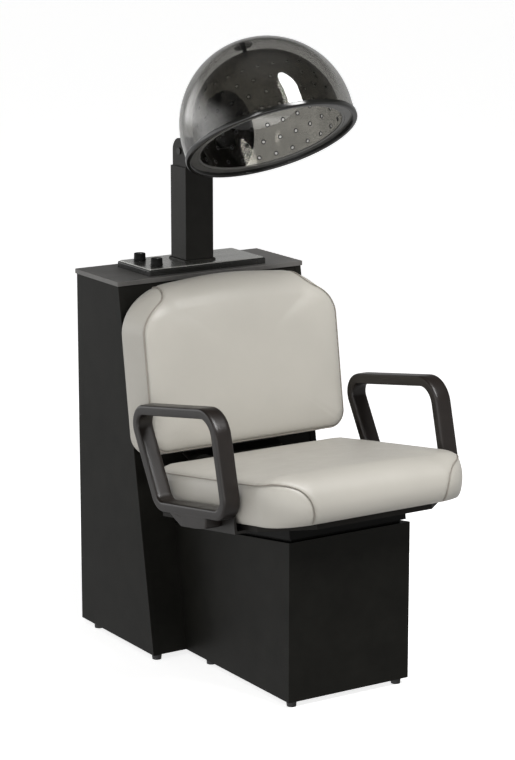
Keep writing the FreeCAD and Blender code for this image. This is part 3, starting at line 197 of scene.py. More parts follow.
def addNode(tree, kind, inputs):
    # a shader node with a plain value or another node's output in each named input
    node = tree.nodes.new("ShaderNode" + kind)
    for socket, value in inputs.items():
        if isinstance(value, bpy.types.NodeSocket):
            tree.links.new(value, node.inputs[socket])
        else:
            node.inputs[socket].default_value = value
    return node


def newFinish(name, colour, roughness, sockets=None):
    # a plain finish, with a value in each named socket of its shader
    finish = bpy.data.materials.new(name)
    finish.use_nodes = True
    shader = finish.node_tree.nodes["Principled BSDF"]
    shader.inputs["Base Color"].default_value = (*colour, 1)
    shader.inputs["Roughness"].default_value = roughness
    for socket, amount in (sockets or {}).items():
        shader.inputs[socket].default_value = amount
    return finish


def feed(tree, socket, output):
    # joins a node's output to the shader
    tree.links.new(output, tree.nodes["Principled BSDF"].inputs[socket])


def objectCoords(tree, scale=(1, 1, 1), turn=(0, 0, 0)):
    # metres on the piece, turned and stretched
    coords = addNode(tree, "TexCoord", {})
    mapping = addNode(tree, "Mapping", {"Vector": coords.outputs["Object"], "Scale": scale,
                                        "Rotation": turn})
    return mapping.outputs["Vector"]


def noiseOf(tree, where, scale, detail, roughness):
    # clouds between 0 and 1, "scale" of them per metre
    return addNode(tree, "TexNoise", {"Vector": where, "Scale": scale, "Detail": detail,
                                      "Roughness": roughness}).outputs["Fac"]


def cellsOf(tree, where, scale, feature):
    # distances in a pattern of cells, "scale" of them per metre
    node = addNode(tree, "TexVoronoi", {"Vector": where, "Scale": scale})
    node.feature = feature
    return node.outputs["Distance"]


def blendColours(tree, pattern, low, high):
    # lets a pattern move the base colour between two colours
    ramp = addNode(tree, "ValToRGB", {"Fac": pattern})
    for element, position, colour in zip(ramp.color_ramp.elements, (0.3, 0.7), (low, high)):
        element.color = (*colour, 1)
        element.position = position
    feed(tree, "Base Color", ramp.outputs["Color"])


def mottle(tree, pattern, colour, low, high):
    # lets a pattern move the base colour between two shares of itself
    blendColours(tree, pattern, [c * low for c in colour], [c * high for c in colour])


def unevenGloss(tree, pattern, low, high):
    # lets a pattern move the roughness between two values
    node = addNode(tree, "MapRange", {"Value": pattern, "From Min": 0.25, "From Max": 0.75,
                                      "To Min": low, "To Max": high})
    feed(tree, "Roughness", node.outputs["Result"])


def bumpInto(tree, layers):
    # stacks bump layers of (pattern, depth in metres) and feeds the shader's normal
    normal = {}
    for pattern, depth in layers:
        node = addNode(tree, "Bump", {"Height": pattern, "Strength": 1.0, "Distance": depth, **normal})
        normal = {"Normal": node.outputs["Normal"]}
    feed(tree, "Normal", normal["Normal"])


def boardFinish(name, colour, roughness, specular):
    # low-pressure laminate: a fine even pebble, a faint mottling and slightly uneven gloss
    finish = newFinish(name, colour, roughness, {"Specular IOR Level": specular})
    tree = finish.node_tree
    where = objectCoords(tree)
    mottle(tree, noiseOf(tree, where, 14, 5, 0.65), colour, 0.8, 1.2)
    unevenGloss(tree, noiseOf(tree, where, 5, 4, 0.6), roughness - 0.05, roughness + 0.07)
    bumpInto(tree, [(cellsOf(tree, where, 1400, "F1"), 0.00006)])
    return finish


def paintFinish(name, colour, roughness, specular):
    # baked powder paint: orange peel over a faint mottling
    finish = newFinish(name, colour, roughness, {"Specular IOR Level": specular})
    tree = finish.node_tree
    where = objectCoords(tree)
    mottle(tree, noiseOf(tree, where, 30, 5, 0.6), colour, 0.88, 1.12)
    unevenGloss(tree, noiseOf(tree, where, 12, 4, 0.5), roughness - 0.04, roughness + 0.06)
    bumpInto(tree, [(noiseOf(tree, where, 900, 2, 0.5), 0.00012)])
    return finish


def mouldedFinish(name, colour, roughness, grain, depth, specular=0.5):
    # moulded plastic, urethane or rubber: spark-eroded skin, a little wear in its gloss
    finish = newFinish(name, colour, roughness, {"Specular IOR Level": specular})
    tree = finish.node_tree
    where = objectCoords(tree)
    mottle(tree, noiseOf(tree, where, 22, 4, 0.6), colour, 0.88, 1.14)
    unevenGloss(tree, noiseOf(tree, where, 16, 5, 0.6), roughness - 0.05, roughness + 0.08)
    bumpInto(tree, [(noiseOf(tree, where, grain, 3, 0.6), depth)])
    return finish


def vinylFinish(name, colour):
    # smooth upholstery vinyl: pressed leather cells, fine pores and slow tone changes
    finish = newFinish(name, colour, 0.42, {"Specular IOR Level": 0.42, "Sheen Weight": 0.06,
                                            "Coat Weight": 0.05, "Coat Roughness": 0.35})
    tree = finish.node_tree
    where = objectCoords(tree)
    cloud = noiseOf(tree, where, 5.5, 4, 0.55)
    mottle(tree, cloud, colour, 0.955, 1.03)
    unevenGloss(tree, noiseOf(tree, where, 26, 5, 0.6), 0.36, 0.5)
    bumpInto(tree, [(cellsOf(tree, where, 520, "DISTANCE_TO_EDGE"), 0.00022),
                    (noiseOf(tree, where, 1500, 2, 0.5), 0.00005), (cloud, 0.0004)])
    return finish


def clearFinish(name, colour, ior):
    # clear smoked plastic with the ripple of a vacuum-formed shell
    finish = newFinish(name, colour, 0.0, {"IOR": ior, "Transmission Weight": 1.0})
    tree = finish.node_tree
    bumpInto(tree, [(noiseOf(tree, objectCoords(tree), 7, 2, 0.5), 0.0007)])
    return finish


def metalFinish(name, colour, roughness, grainTurn=(0, 0, 0)):
    # rolled or ground metal: long fine scratches along one way
    finish = newFinish(name, colour, roughness, {"Metallic": 1.0})
    tree = finish.node_tree
    scratches = noiseOf(tree, objectCoords(tree, (6, 900, 900), grainTurn), 1.0, 4, 0.6)
    unevenGloss(tree, scratches, roughness - 0.06, roughness + 0.1)
    bumpInto(tree, [(scratches, 0.00004)])
    return finish


def woodFinish(name, light, dark):
    # stained plywood: rings stretched along X
    finish = newFinish(name, light, 0.6, {"Specular IOR Level": 0.15})
    tree = finish.node_tree
    figure = noiseOf(tree, objectCoords(tree, (2, 26, 26)), 2.2, 6, 0.6)
    blendColours(tree, figure, dark, light)
    bumpInto(tree, [(figure, 0.0003)])
    return finish


# colours are linear; then come roughness, grain per metre, its depth in metres and the specular
black = (0.008, 0.008, 0.007)
finishes = {
    "board": boardFinish("blackLaminate", (0.0095, 0.0092, 0.0078), 0.42, 0.08),
    "lid": boardFinish("charcoalLaminate", (0.088, 0.085, 0.080), 0.42, 0.5),
    "tray": mouldedFinish("glossBlackTray", black, 0.24, 700, 0.00003),
    "plate": metalFinish("silverPlate", (0.66, 0.66, 0.63), 0.26),
    "knob": mouldedFinish("knobBlack", (0.004, 0.004, 0.0037), 0.45, 1500, 0.00006, 0.1),
    "steel": metalFinish("zincSteel", (0.60, 0.60, 0.58), 0.35),
    "switch": mouldedFinish("switchBlack", (0.03, 0.03, 0.03), 0.5, 900, 0.00008),
    "foot": mouldedFinish("footRubber", (0.016, 0.016, 0.016), 0.62, 1200, 0.0001),
    "column": paintFinish("columnPaint", (0.0125, 0.012, 0.0105), 0.36, 0.12),
    "plastic": mouldedFinish("blackPlastic", black, 0.4, 1000, 0.00007, 0.3),
    "duct": mouldedFinish("ductPlastic", black, 0.40, 900, 0.00008, 0.3),
    "film": mouldedFinish("ductShade", black, 0.36, 40, 0.00002, 0.3),
    # real rubber on the seals; on the air holes' edges this near-black is painted shade of the hole walls
    "seal": mouldedFinish("sealRubberAndHoleShade", (0.012, 0.012, 0.012), 0.5, 1300, 0.00008),
    "smoke": clearFinish("clearSmoke", (0.42, 0.415, 0.40), 1.49),
    "liner": clearFinish("darkSmoke", (0.44, 0.43, 0.40), 1.52),
    "ring": mouldedFinish("greyRing", (0.11, 0.108, 0.102), 0.2, 900, 0.00004, 0.6),
    "trim": mouldedFinish("glossBlackTrim", black, 0.14, 600, 0.00002),
    "zinc": metalFinish("galvanisedSheet", (0.55, 0.56, 0.58), 0.42, (0, 0, 1.57)),
    "motor": paintFinish("motorPaint", (0.05, 0.05, 0.052), 0.5, 0.42),
    "ceramic": mouldedFinish("glazedCeramic", (0.72, 0.70, 0.64), 0.3, 400, 0.0001),
    "frame": boardFinish("blackFrame", (0.005, 0.005, 0.0045), 0.5, 0.1),
    "ply": woodFinish("stainedPly", (0.012, 0.011, 0.0095), (0.007, 0.006, 0.005)),
    "vinyl": vinylFinish("warmGreyVinyl", (0.40, 0.382, 0.342)),
    # the welt's vinyl is the pad's vinyl at 0.6 of its colour: painted shade along the sewn line
    "welt": vinylFinish("weltVinylPaintedShade", (0.24, 0.22, 0.19)),
    "bracket": paintFinish("darkBracket", (0.014, 0.0125, 0.011), 0.4, 0.3),
    "arm": mouldedFinish("armUrethane", (0.0135, 0.0105, 0.009), 0.32, 1100, 0.0001, 0.36),
    "pointer": mouldedFinish("pointerWhite", (0.78, 0.78, 0.75), 0.4, 800, 0.00003),
    "dial": mouldedFinish("dialInk", (0.02, 0.02, 0.02), 0.5, 800, 0.00003),
}

for part in frame["record"]["subparts"]:
    node = cadNodes[part["node"]]
    node.data.materials.clear()
    node.data.materials.append(finishes[part["material_slot"]])
print("finishes on every carried node:", len(finishes))


def dress(piece, finish, body, slot, *replaced):
    # gives a piece its finish and body, and hides the solids that it stands for; the slot is not used
    piece.data.materials.clear()
    piece.data.materials.append(finishes[finish])
    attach(piece, body)
    if replaced:
        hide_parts(*replaced)
    return piece


# Seat and back pads, in mm. The section tables are (draw-in, height) knots: Up from the base to
# the seam and Over onto the crown, at the sides and at the edge where the panel rolls over. "turn"
# is the facing angles over which the seam curls down to the base. "lift" raises the seam at its
# left and right ends, "arch" lowers the roll edge towards the sides, "cornerDraw" draws the roll
# corners in, "swell" caps the cloth's moves, and "base" is the pad's rear or under face
seatPad = {
    "half": 262.0, "near": -400.0, "roll": 134.0, "nearCorner": 45.0, "rollCorner": 97.0,
    "top": 110.0, "base": 50.0,
    "sideUp": [(15, 0), (9.5, 7), (5.5, 17), (2, 34), (0, 52), (0.5, 70), (3, 84), (5.5, 92)],
    "sideOver": [(5.5, 92), (8, 95.5), (13, 99.5), (20, 102.5), (28, 104.5)],
    "rollUp": [(27, 0), (17, 5), (9, 13), (3, 26), (0, 40), (0.5, 55), (4, 69), (10, 80)],
    "rollOver": [(10, 80), (17, 88), (26, 95), (36, 100), (48, 104)],
    "turn": (138.0, 176.0), "lift": (9.0, -4.0), "liftFrom": (20.0, 125.0), "arch": 0.0,
    "cornerDraw": 3.0, "swell": 6.0,
}
backPad = {
    "half": 266.0, "near": 173.0, "roll": 564.0, "nearCorner": 46.0, "rollCorner": 116.0,
    "top": 102.0, "base": 470.0,
    "sideUp": [(5, 0), (-1.5, 3), (-4, 10), (-3.5, 24), (-0.5, 44), (3, 64), (5.5, 79), (7.5, 88)],
    "sideOver": [(7.5, 88), (9.5, 91), (14, 94), (21, 96.5), (29, 98)],
    "rollUp": [(8, 0), (2.5, 4), (0, 12), (-1, 26), (0.5, 42), (5, 56), (11, 67), (18, 76)],
    "rollOver": [(18, 76), (24, 82), (32, 88), (41, 92.5), (52, 96)],
    "turn": (140.0, 165.0), "lift": (0.0, 0.0), "liftFrom": (400.0, 540.0), "arch": 14.0,
    "cornerDraw": 5.0, "swell": 5.5,
}
padRings = {
    "perCorner": 26, "perSide": 44, "perEnd": 30, "up": 15, "over": 5, "base": (0.0, 0.3, 0.6, 0.85),
    "crown": (0.035, 0.08, 0.13, 0.19, 0.26, 0.34, 0.43, 0.53, 0.64, 0.76, 0.88, 1.0),
    "crownPower": 2.6, "liftPower": 1.5, "noseFrom": (116, 170), "archReach": 0.9,
}
seam = {
    "curlPower": 0.72, "curlPoints": 44, "curlRow": 5.0, "held": 4.0, "heldBase": 3.0, "welt": 1.7,
    "valley": 1.7, "valleyReach": 4.5, "pucker": 0.35, "puckerReach": 16.0,
    "waves": (310, 47, 270, 350),
}
cloth = {
    "frames": 20, "pressure": 4.0, "stretch": 40, "shear": 25, "bend": 12, "quality": 6,
    "passes": 60, "blend": 0.7,
}


def padOutline(size):
    # plan outline of a pad as points, outward normals and facing angles: 0 at the near edge,
    # 90 at the sides and 180 at the roll edge. Its right half is lines and quarter circles, and
    # the left half is its mirror image
    near, roll, half = size["near"], size["roll"], size["half"]
    rn, rr = size["nearCorner"], size["rollCorner"]
    quarter = np.linspace(0, math.pi / 2, padRings["perCorner"])
    points, angles = [np.array([(0.0, near)])], [np.zeros(1)]

    def straight(start, end, count, facing):
        # p = start (1 - t) + end t, without both ends
        t = np.linspace(0, 1, count, endpoint=False)[1:, None]
        points.append(np.array(start) * (1 - t) + np.array(end) * t)
        angles.append(np.full(count - 1, facing))

    straight((0, near), (half - rn, near), padRings["perEnd"], 0.0)
    points.append(np.stack([half - rn + rn * np.sin(quarter), near + rn - rn * np.cos(quarter)], -1))
    angles.append(np.degrees(quarter))
    straight((half, near + rn), (half, roll - rr), padRings["perSide"], 90.0)
    points.append(np.stack([half - rr + rr * np.cos(quarter), roll - rr + rr * np.sin(quarter)], -1))
    angles.append(90 + np.degrees(quarter))
    straight((half - rr, roll), (0, roll), padRings["perEnd"], 180.0)
    points.append(np.array([(0.0, roll)]))
    angles.append(np.full(1, 180.0))
    right, facing = np.concatenate(points), np.concatenate(angles)
    outline = np.concatenate([right, right[1:-1][::-1] * np.array([-1, 1])])
    sign = np.where(np.arange(len(outline)) < len(right), 1.0, -1.0)
    facing = np.concatenate([facing, facing[1:-1][::-1]])
    rad = np.radians(facing)
    return outline, np.stack([sign * np.sin(rad), -np.cos(rad)], -1), facing


def knotCurve(knots, count):
    # Catmull-Rom curve through knots, sampled at equal steps of its length:
    # p = (2b + (c - a) t + (2a - 5b + 4c - d) t^2 + (3b - a - 3c + d) t^3) / 2
    k = np.asarray(knots, float)
    k = np.concatenate([[2 * k[0] - k[1]], k, [2 * k[-1] - k[-2]]])
    t = np.linspace(0, 1, 12, endpoint=False)[:, None]
    out = []
    for a, b, c, d in zip(k[:-3], k[1:-2], k[2:-1], k[3:]):
        out.append(0.5 * (2 * b + (c - a) * t + (2 * a - 5 * b + 4 * c - d) * t ** 2
                          + (3 * b - a - 3 * c + d) * t ** 3))
    curve = np.concatenate(out + [k[-2:-1]])
    run = np.concatenate([[0], np.cumsum(np.linalg.norm(np.diff(curve, axis=0), axis=1))])
    want = np.linspace(0, run[-1], count)
    return np.stack([np.interp(want, run, curve[:, 0]), np.interp(want, run, curve[:, 1])], -1)


def padSurface(size):
    # rings from the middle of the base, up the boxing to the seam and over the crown. Each ring
    # is the outline drawn in along its normals, with p = side * (1 - n) + roll * n for the share
    # n of the rolled nose; the crown's last rings shrink about the pad's middle, and their
    # height is top - (top - edge) * (1 - t)^crownPower
    outline, normal, facing = padOutline(size)
    nose = smoothStep(*padRings["noseFrom"], facing)[:, None]
    middle = np.array([0.0, (size["near"] + size["roll"]) / 2])

    def blended(part, count):
        # the curve of either table, mixed for every point of the outline
        side, roll = (knotCurve(size[edge + part], count)[:, None, :] for edge in ("side", "roll"))
        return side * (1 - nose) + roll * nose

    up, over = blended("Up", padRings["up"]), blended("Over", padRings["over"])
    # the roll corners draw in further towards the crown: by cornerDraw * sin^2(2 a) * (h / top)^2
    # at the angle a round the corner
    corner = (np.sin(np.radians(2 * (np.maximum(facing, 90) - 90))) ** 2)[:, None]
    foot = outline - normal * up[0][:, :1]
    rows = [np.concatenate([middle + (foot - middle) * share, up[0][:, 1:]], -1)
            for share in padRings["base"]]
    for ring in np.concatenate([up, over[1:]]):
        drawn = ring[:, :1] + size["cornerDraw"] * corner * (ring[:, 1:] / size["top"]) ** 2
        rows.append(np.concatenate([outline - normal * drawn, ring[:, 1:]], -1))
    last = rows[-1]
    for t in padRings["crown"]:
        ring = last[:, :2] + (middle - last[:, :2]) * t
        height = size["top"] - (size["top"] - last[:, 2]) * (1 - t) ** padRings["crownPower"]
        rows.append(np.concatenate([ring, height[:, None]], -1))
    grid = np.stack(rows)
    # the seam's lift: h += L * (h / top)^liftPower, with L between its left and right values
    across = grid[..., 0] / size["half"]
    lift = size["lift"][0] * (1 - across) / 2 + size["lift"][1] * (1 + across) / 2
    toRoll = smoothStep(*size["liftFrom"], grid[..., 1])
    grid[..., 2] += lift * toRoll * np.clip(grid[..., 2] / size["top"], 0, 1) ** padRings["liftPower"]
    grid[..., 1] -= size["arch"] * smoothStep(0, padRings["archReach"], np.abs(across)) * toRoll
    seamRow = len(padRings["base"]) + len(up) - 1
    return grid, seamRow, facing


def onGrid(grid, row, col):
    # bilinear point of a grid whose columns close into a ring
    r, c = np.floor(row).astype(int), np.floor(col).astype(int)
    fr, fc = (row - r)[:, None], (col - c)[:, None]
    r1, c0, c1 = np.minimum(r + 1, len(grid) - 1), c % grid.shape[1], (c + 1) % grid.shape[1]
    return ((grid[r, c0] * (1 - fr) + grid[r1, c0] * fr) * (1 - fc)
            + (grid[r, c1] * (1 - fr) + grid[r1, c1] * fr) * fc)


def seamPath(grid, seamRow, facing, turn):
    # the sewn line: along the seam ring, then at each roll corner down to the base on a quarter
    # of a superellipse, s = (sin a)^curlPower over the facing angles of the turn and height share
    # (cos a)^curlPower
    cols = grid.shape[1]
    half = cols // 2
    arc = np.nonzero((facing[:half] > 90.5) & (facing[:half] < 179.5))[0]
    start = np.interp(turn[0], facing[arc], arc)
    a = np.linspace(0, math.pi / 2 - 0.01, seam["curlPoints"])
    facingNow = turn[0] + (turn[1] - turn[0]) * np.sin(a) ** seam["curlPower"]
    curlRow = seam["curlRow"] + (seamRow - seam["curlRow"]) * np.cos(a) ** seam["curlPower"]
    plain = np.arange(0, math.floor(start)).astype(float)
    col = np.concatenate([plain, np.interp(facingNow, facing[arc], arc)])
    row = np.concatenate([np.full(len(plain), float(seamRow)), curlRow])
    return onGrid(grid, np.concatenate([row[::-1], row[1:]]), np.concatenate([-col[::-1], col[1:]]) % cols)


def readPoints(mesh, what="co"):
    # the points or normals of a mesh as an array
    values = np.empty(len(mesh.vertices) * 3, dtype=np.float32)
    mesh.vertices.foreach_get(what, values)
    return values.reshape(-1, 3)


def movePoints(mesh, points):
    # puts a whole array of points back
    mesh.vertices.foreach_set("co", np.ascontiguousarray(points, dtype=np.float32).ravel())
    mesh.update()


def reachTo(points, path):
    # distance from each point to the nearest point of a path, taken a few path points at a time
    gap, batch = np.full(len(points), 9.0), 20
    for start in range(0, len(path), batch):
        part = path[None, start:start + batch, :]
        gap = np.minimum(gap, np.linalg.norm(points[:, None, :] - part, axis=2).min(axis=1))
    return gap


def clothMoves(piece, pinned):
    # air-filled cloth: pressure pushes the skin out while the sewn lines and the base are held
    before = readPoints(piece.data)
    held = piece.vertex_groups.new(name="held")
    held.add([int(i) for i in pinned], 1.0, "REPLACE")
    modifier = piece.modifiers.new("swell", "CLOTH")
    modifier.collision_settings.use_collision = False
    settings = modifier.settings
    settings.use_pressure = True
    settings.uniform_pressure_force = cloth["pressure"]
    settings.vertex_group_mass = "held"
    settings.effector_weights.gravity = 0
    settings.tension_stiffness = settings.compression_stiffness = cloth["stretch"]
    settings.shear_stiffness = cloth["shear"]
    settings.bending_stiffness = cloth["bend"]
    settings.quality = cloth["quality"]
    scene = bpy.context.scene
    for step in range(1, cloth["frames"] + 1):
        scene.frame_set(step)
    after = readPoints(piece.evaluated_get(bpy.context.evaluated_depsgraph_get()).data)
    piece.modifiers.remove(modifier)
    piece.vertex_groups.clear()
    scene.frame_set(1)
    return after - before


def swellPad(piece, pinned, swell):
    # the cloth's moves are averaged with their neighbours', m += blend * (mean - m), to take out
    # creases, and a move d becomes cap * tanh(d / cap), so that no point goes beyond the cap
    move = clothMoves(piece, pinned)
    before = readPoints(piece.data)
    ends = np.empty(len(piece.data.edges) * 2, dtype=np.int32)
    piece.data.edges.foreach_get("vertices", ends)
    ends = ends.reshape(-1, 2)
    degree = np.bincount(ends.ravel(), minlength=len(before))[:, None]
    loose = np.ones((len(before), 1))
    loose[pinned] = 0
    for turn in range(cloth["passes"]):
        total = np.zeros_like(move)
        np.add.at(total, ends[:, 0], move[ends[:, 1]])
        np.add.at(total, ends[:, 1], move[ends[:, 0]])
        move = move + cloth["blend"] * loose * (total / degree - move)
    far = np.linalg.norm(move, axis=1)
    cap = swell * mm
    print("cloth moved", piece.name, "by up to", round(float(far.max()) / mm, 1), "mm")
    movePoints(piece.data, before + move * (cap * np.tanh(far / cap) / np.maximum(far, 1e-9))[:, None])


def refine(piece):
    # one level of subdivision, applied
    smooth = piece.modifiers.new("refine", "SUBSURF")
    smooth.levels = smooth.render_levels = 1
    smooth.use_limit_surface = False
    mesh = bpy.data.meshes.new_from_object(piece.evaluated_get(bpy.context.evaluated_depsgraph_get()))
    piece.modifiers.remove(smooth)
    piece.data = mesh
    smoothFaces(mesh)


def makePad(name, size, toSeat, node):
    # skin, swelling, valley and puckers, and the welt along the sewn line
    grid, seamRow, facing = padSurface(size)
    path = seamPath(grid, seamRow, facing, size["turn"])
    piece = pieceIn(seatFrame, name, [(toSeat(grid, size["base"]), True)], 2e-6)
    sewn = intoFrame(toSeat(path, size["base"]), seatFrame)
    foot, oneUp = intoFrame(toSeat(np.array([[0.0, 0, 0], [0, 0, 1]]), size["base"]), seatFrame)
    points = readPoints(piece.data)
    height = (points - foot) @ (oneUp - foot) / mm ** 2
    held = (reachTo(points, sewn) < seam["held"] * mm) | (height < seam["heldBase"])
    swellPad(piece, np.nonzero(held)[0], size["swell"])
    refine(piece)
    # a valley on both sides of the sewn line, and short puckers that die out from it: in mm,
    # d = pucker * wave * exp(-(g / puckerReach)^2) - valley * exp(-(g / valleyReach)^2), with g
    # the distance to the line and wave = sin(fold x + 2 sin(drift y)) sin(run y + rise z)
    points, normals = readPoints(piece.data), readPoints(piece.data, "normal")
    x, y, z = points.T
    fold, drift, run, rise = seam["waves"]
    gap = reachTo(points, sewn) / mm
    wave = np.sin(x * fold + 2 * np.sin(y * drift)) * np.sin(y * run + z * rise)
    drop = (seam["pucker"] * wave * np.exp(-(gap / seam["puckerReach"]) ** 2)
            - seam["valley"] * np.exp(-(gap / seam["valleyReach"]) ** 2))
    movePoints(piece.data, points + normals * (drop * mm)[:, None])
    dress(piece, "vinyl", "cabinet", "vinyl", node)
    # the welt wears the darker welt vinyl, which is painted shade along the sewn line
    cord = surfacePiece(name + "Welt", [(tubeAlong(sewn, seam["welt"] * mm, 8), True)])
    dress(cord, "welt", "cabinet", "vinyl")


def seatAxes(grid, base):
    # pad axes to the seat's frame: the roll edge faces forwards and the crown up
    return np.stack([grid[..., 0], -grid[..., 1], base + grid[..., 2]], -1)


def backAxes(grid, base):
    # pad axes to the seat's frame: the roll edge faces up and the crown forwards
    return np.stack([grid[..., 0], base - grid[..., 2], grid[..., 1]], -1)


makePad("seatPad", seatPad, seatAxes, "seat_cushion")
makePad("backPad", backPad, backAxes, "back_cushion")
print("seat and back padded")


# Arms, in mm of the seat's frame: the loop's outer corners and their radii, the bar's section
# and the tab under it, which slims by its faces
armSize = {
    "outer": [(0.0, 66.0), (306.0, 66.0), (400.0, 301.0), (24.7, 309.0)],
    "corners": [48.0, 48.0, 48.0, 66.0], "bar": 24.5, "width": 42.0, "inner": 268.0, "power": 5.0,
    "tab": [(87, 78), (93, 45), (140, 42), (199, 42), (224, 56), (246, 70), (246, 80)],
    "tabCorner": 7, "tabShort": 1.0, "tabSlim": 0.08, "tabPower": 0.35, "around": 72, "layers": 15,
}


def drawnIn(corners, by):
    # corners of a loop whose edges all move in by the same distance: each solves n . p = level
    # for the two edges that meet there
    corners = np.asarray(corners, float)
    ahead = unit(np.roll(corners, -1, axis=0) - corners)
    normal = np.stack([-ahead[:, 1], ahead[:, 0]], -1)
    level = (corners * normal).sum(axis=1) + by
    return np.array([np.linalg.solve(normal[[i - 1, i]], level[[i - 1, i]]) for i in range(len(corners))])


def roundedLoop(corners, radii, perCorner, perSide):
    # closed path through corners, each rounded by an arc: p = centre + r (cos t, sin t)
    corners = np.asarray(corners, float)
    radii = np.broadcast_to(np.asarray(radii, float), (len(corners),))
    arcs = []
    for here, before, after, radius in zip(corners, np.roll(corners, 1, axis=0),
                                           np.roll(corners, -1, axis=0), radii):
        back, ahead = unit(before - here), unit(after - here)
        halfAngle = math.acos(np.clip(back @ ahead, -1, 1)) / 2
        reach = radius / math.tan(halfAngle)
        centre = here + unit(back + ahead) * radius / math.sin(halfAngle)
        a, b = here + back * reach - centre, here + ahead * reach - centre
        start = math.atan2(a[1], a[0])
        sweep = (math.atan2(b[1], b[0]) - start + math.pi) % (2 * math.pi) - math.pi
        t = start + sweep * np.linspace(0, 1, perCorner)
        arcs.append(centre + radius * np.stack([np.cos(t), np.sin(t)], -1))
    path = []
    s = np.linspace(0, 1, perSide + 2)[1:-1, None]
    for arc, following in zip(arcs, arcs[1:] + arcs[:1]):
        path += [arc, arc[-1] * (1 - s) + following[0] * s]
    return np.concatenate(path)


def signedPower(value, power):
    # keeps the sign of a value and raises its size to the power
    return np.sign(value) * np.abs(value) ** power


def makeArm(name, side, node):
    # a superellipse section, |x/a|^n + |y/b|^n = 1, carried round a leaning four-sided loop
    size = armSize
    inset = size["bar"] / 2
    radii = np.array(size["corners"]) - inset
    path = roundedLoop(drawnIn(size["outer"], inset), radii, perCorner=22, perSide=26)
    ahead = unit(np.roll(path, -1, axis=0) - np.roll(path, 1, axis=0))
    out = np.stack([ahead[:, 1], -ahead[:, 0]], -1)
    a = anglesRound(size["around"])
    across = size["width"] / 2 * signedPower(np.cos(a), 2 / size["power"])
    away = inset * signedPower(np.sin(a), 2 / size["power"])
    middle = size["inner"] + size["width"] / 2
    ring = np.empty((len(path), len(a), 3))
    ring[..., 0] = side * (middle + across[None, :])
    ring[..., 1:] = path[:, None, :] + away[None, :, None] * out[:, None, :]
    # the tab: layers of its outline between both faces, drawn in by slim * (1 - |cos t|^power)
    outline = roundedLoop(size["tab"], size["tabCorner"], perCorner=6, perSide=6)
    centre = outline.mean(axis=0)
    halfTab = size["width"] / 2 - size["tabShort"]
    t = np.linspace(-math.pi / 2, math.pi / 2, size["layers"])
    share = 1 - size["tabSlim"] * (1 - np.abs(np.cos(t)) ** size["tabPower"])
    share = np.concatenate([[0, 0.5], share, [0.5, 0]])
    level = signedPower(np.sin(t), size["tabPower"]) * halfTab
    level = np.concatenate([[-halfTab] * 2, level, [halfTab] * 2])
    tab = np.empty((len(share), len(outline), 3))
    tab[..., 0] = side * (middle + level[:, None])
    tab[..., 1:] = centre + (outline - centre) * share[:, None, None]
    arm = pieceIn(seatFrame, name, [(np.concatenate([ring, ring[:1]]), True), (tab, True)], 2e-6)
    dress(arm, "arm", "cabinet", "arm", node)


makeArm("armLoopLeft", -1, "arm_left")
makeArm("armLoopRight", 1, "arm_right")
print("arms moulded")


# Hood, in mm of its frame; the window for the duct is in degrees about the back, and up the
# sphere from its foot. "eyelet" is the (radius, depth) section of an air hole's edge
hoodSize = {
    "radius": 194.3, "skirt": 40.0, "wall": 3.0, "windowAz": 8.6, "windowLow": 6.9, "windowHigh": 22.2,
    "linerRadius": 166.0, "linerWall": 2.0, "linerFoot": 8.7, "rows": [22.0, 56.0, 90.0, 124.0],
    "perRow": 26, "hole": 3.9,
    "eyelet": [(3.95, 0.1), (3.5, 0.1), (3.5, 2.5), (5.0, 2.5), (5.3, 2.05), (3.95, 2.0), (3.95, 0.1)],
}


def onDome(radius, arc, azimuth):
    # a point of a shell: straight up the skirt for the first part of the arc length, then
    # r = radius cos u, z = skirt + radius sin u on the sphere above it, with u = (arc - skirt) / radius
    skirt = hoodSize["skirt"]
    over = np.maximum(arc - skirt, 0) / radius
    r = radius * np.cos(over)
    z = np.minimum(arc, skirt) + radius * np.sin(over)
    return np.stack([r * np.cos(azimuth), r * np.sin(azimuth), z], -1)


def innerArc(arc, share):
    # the arc length of the same place on an inner skin: only its part above the skirt shrinks
    skirt = hoodSize["skirt"]
    return np.where(arc > skirt, skirt + (arc - skirt) * share, arc)


def makeDomeShell():
    # outer and inner skins of revolution with a window at the back, where rows and columns of the
    # grid are set on the window's edges; walls close the window and the foot
    size = hoodSize
    radius, skirt, cols = size["radius"], size["skirt"], 9
    low, high = (skirt + radius * math.radians(size[edge]) for edge in ("windowLow", "windowHigh"))
    arcs = np.unique(np.concatenate([
        np.linspace(0, skirt, 7), np.linspace(skirt, low, 5), np.linspace(low, high, 9),
        np.linspace(high, skirt + radius * math.pi / 2, 60)]).round(6))
    half = math.radians(size["windowAz"])
    around = np.concatenate([np.linspace(math.pi / 2 - half, math.pi / 2 + half, cols),
                             np.linspace(math.pi / 2 + half, 2.5 * math.pi - half, 176)[1:-1]])
    arc, azimuth = np.meshgrid(arcs, around, indexing="ij")
    innerRadius = radius - size["wall"]
    outer = onDome(radius, arc, azimuth)
    inner = onDome(innerRadius, innerArc(arc, innerRadius / radius), azimuth)
    first, last = (int(np.argmin(abs(arcs - edge))) for edge in (low, high))
    skip = np.zeros(arc.shape, bool)
    skip[first:last, :cols - 1] = True
    patches = [(outer, True, skip), (inner, True, skip), (np.stack([outer[0], inner[0]]), True)]
    for edge in (np.s_[first, :cols], np.s_[last, :cols],
                 np.s_[first:last + 1, 0], np.s_[first:last + 1, cols - 1]):
        patches.append((np.stack([outer[edge], inner[edge]]), False))
    return pieceIn(hoodFrame, "domeShell", patches, 3e-6)


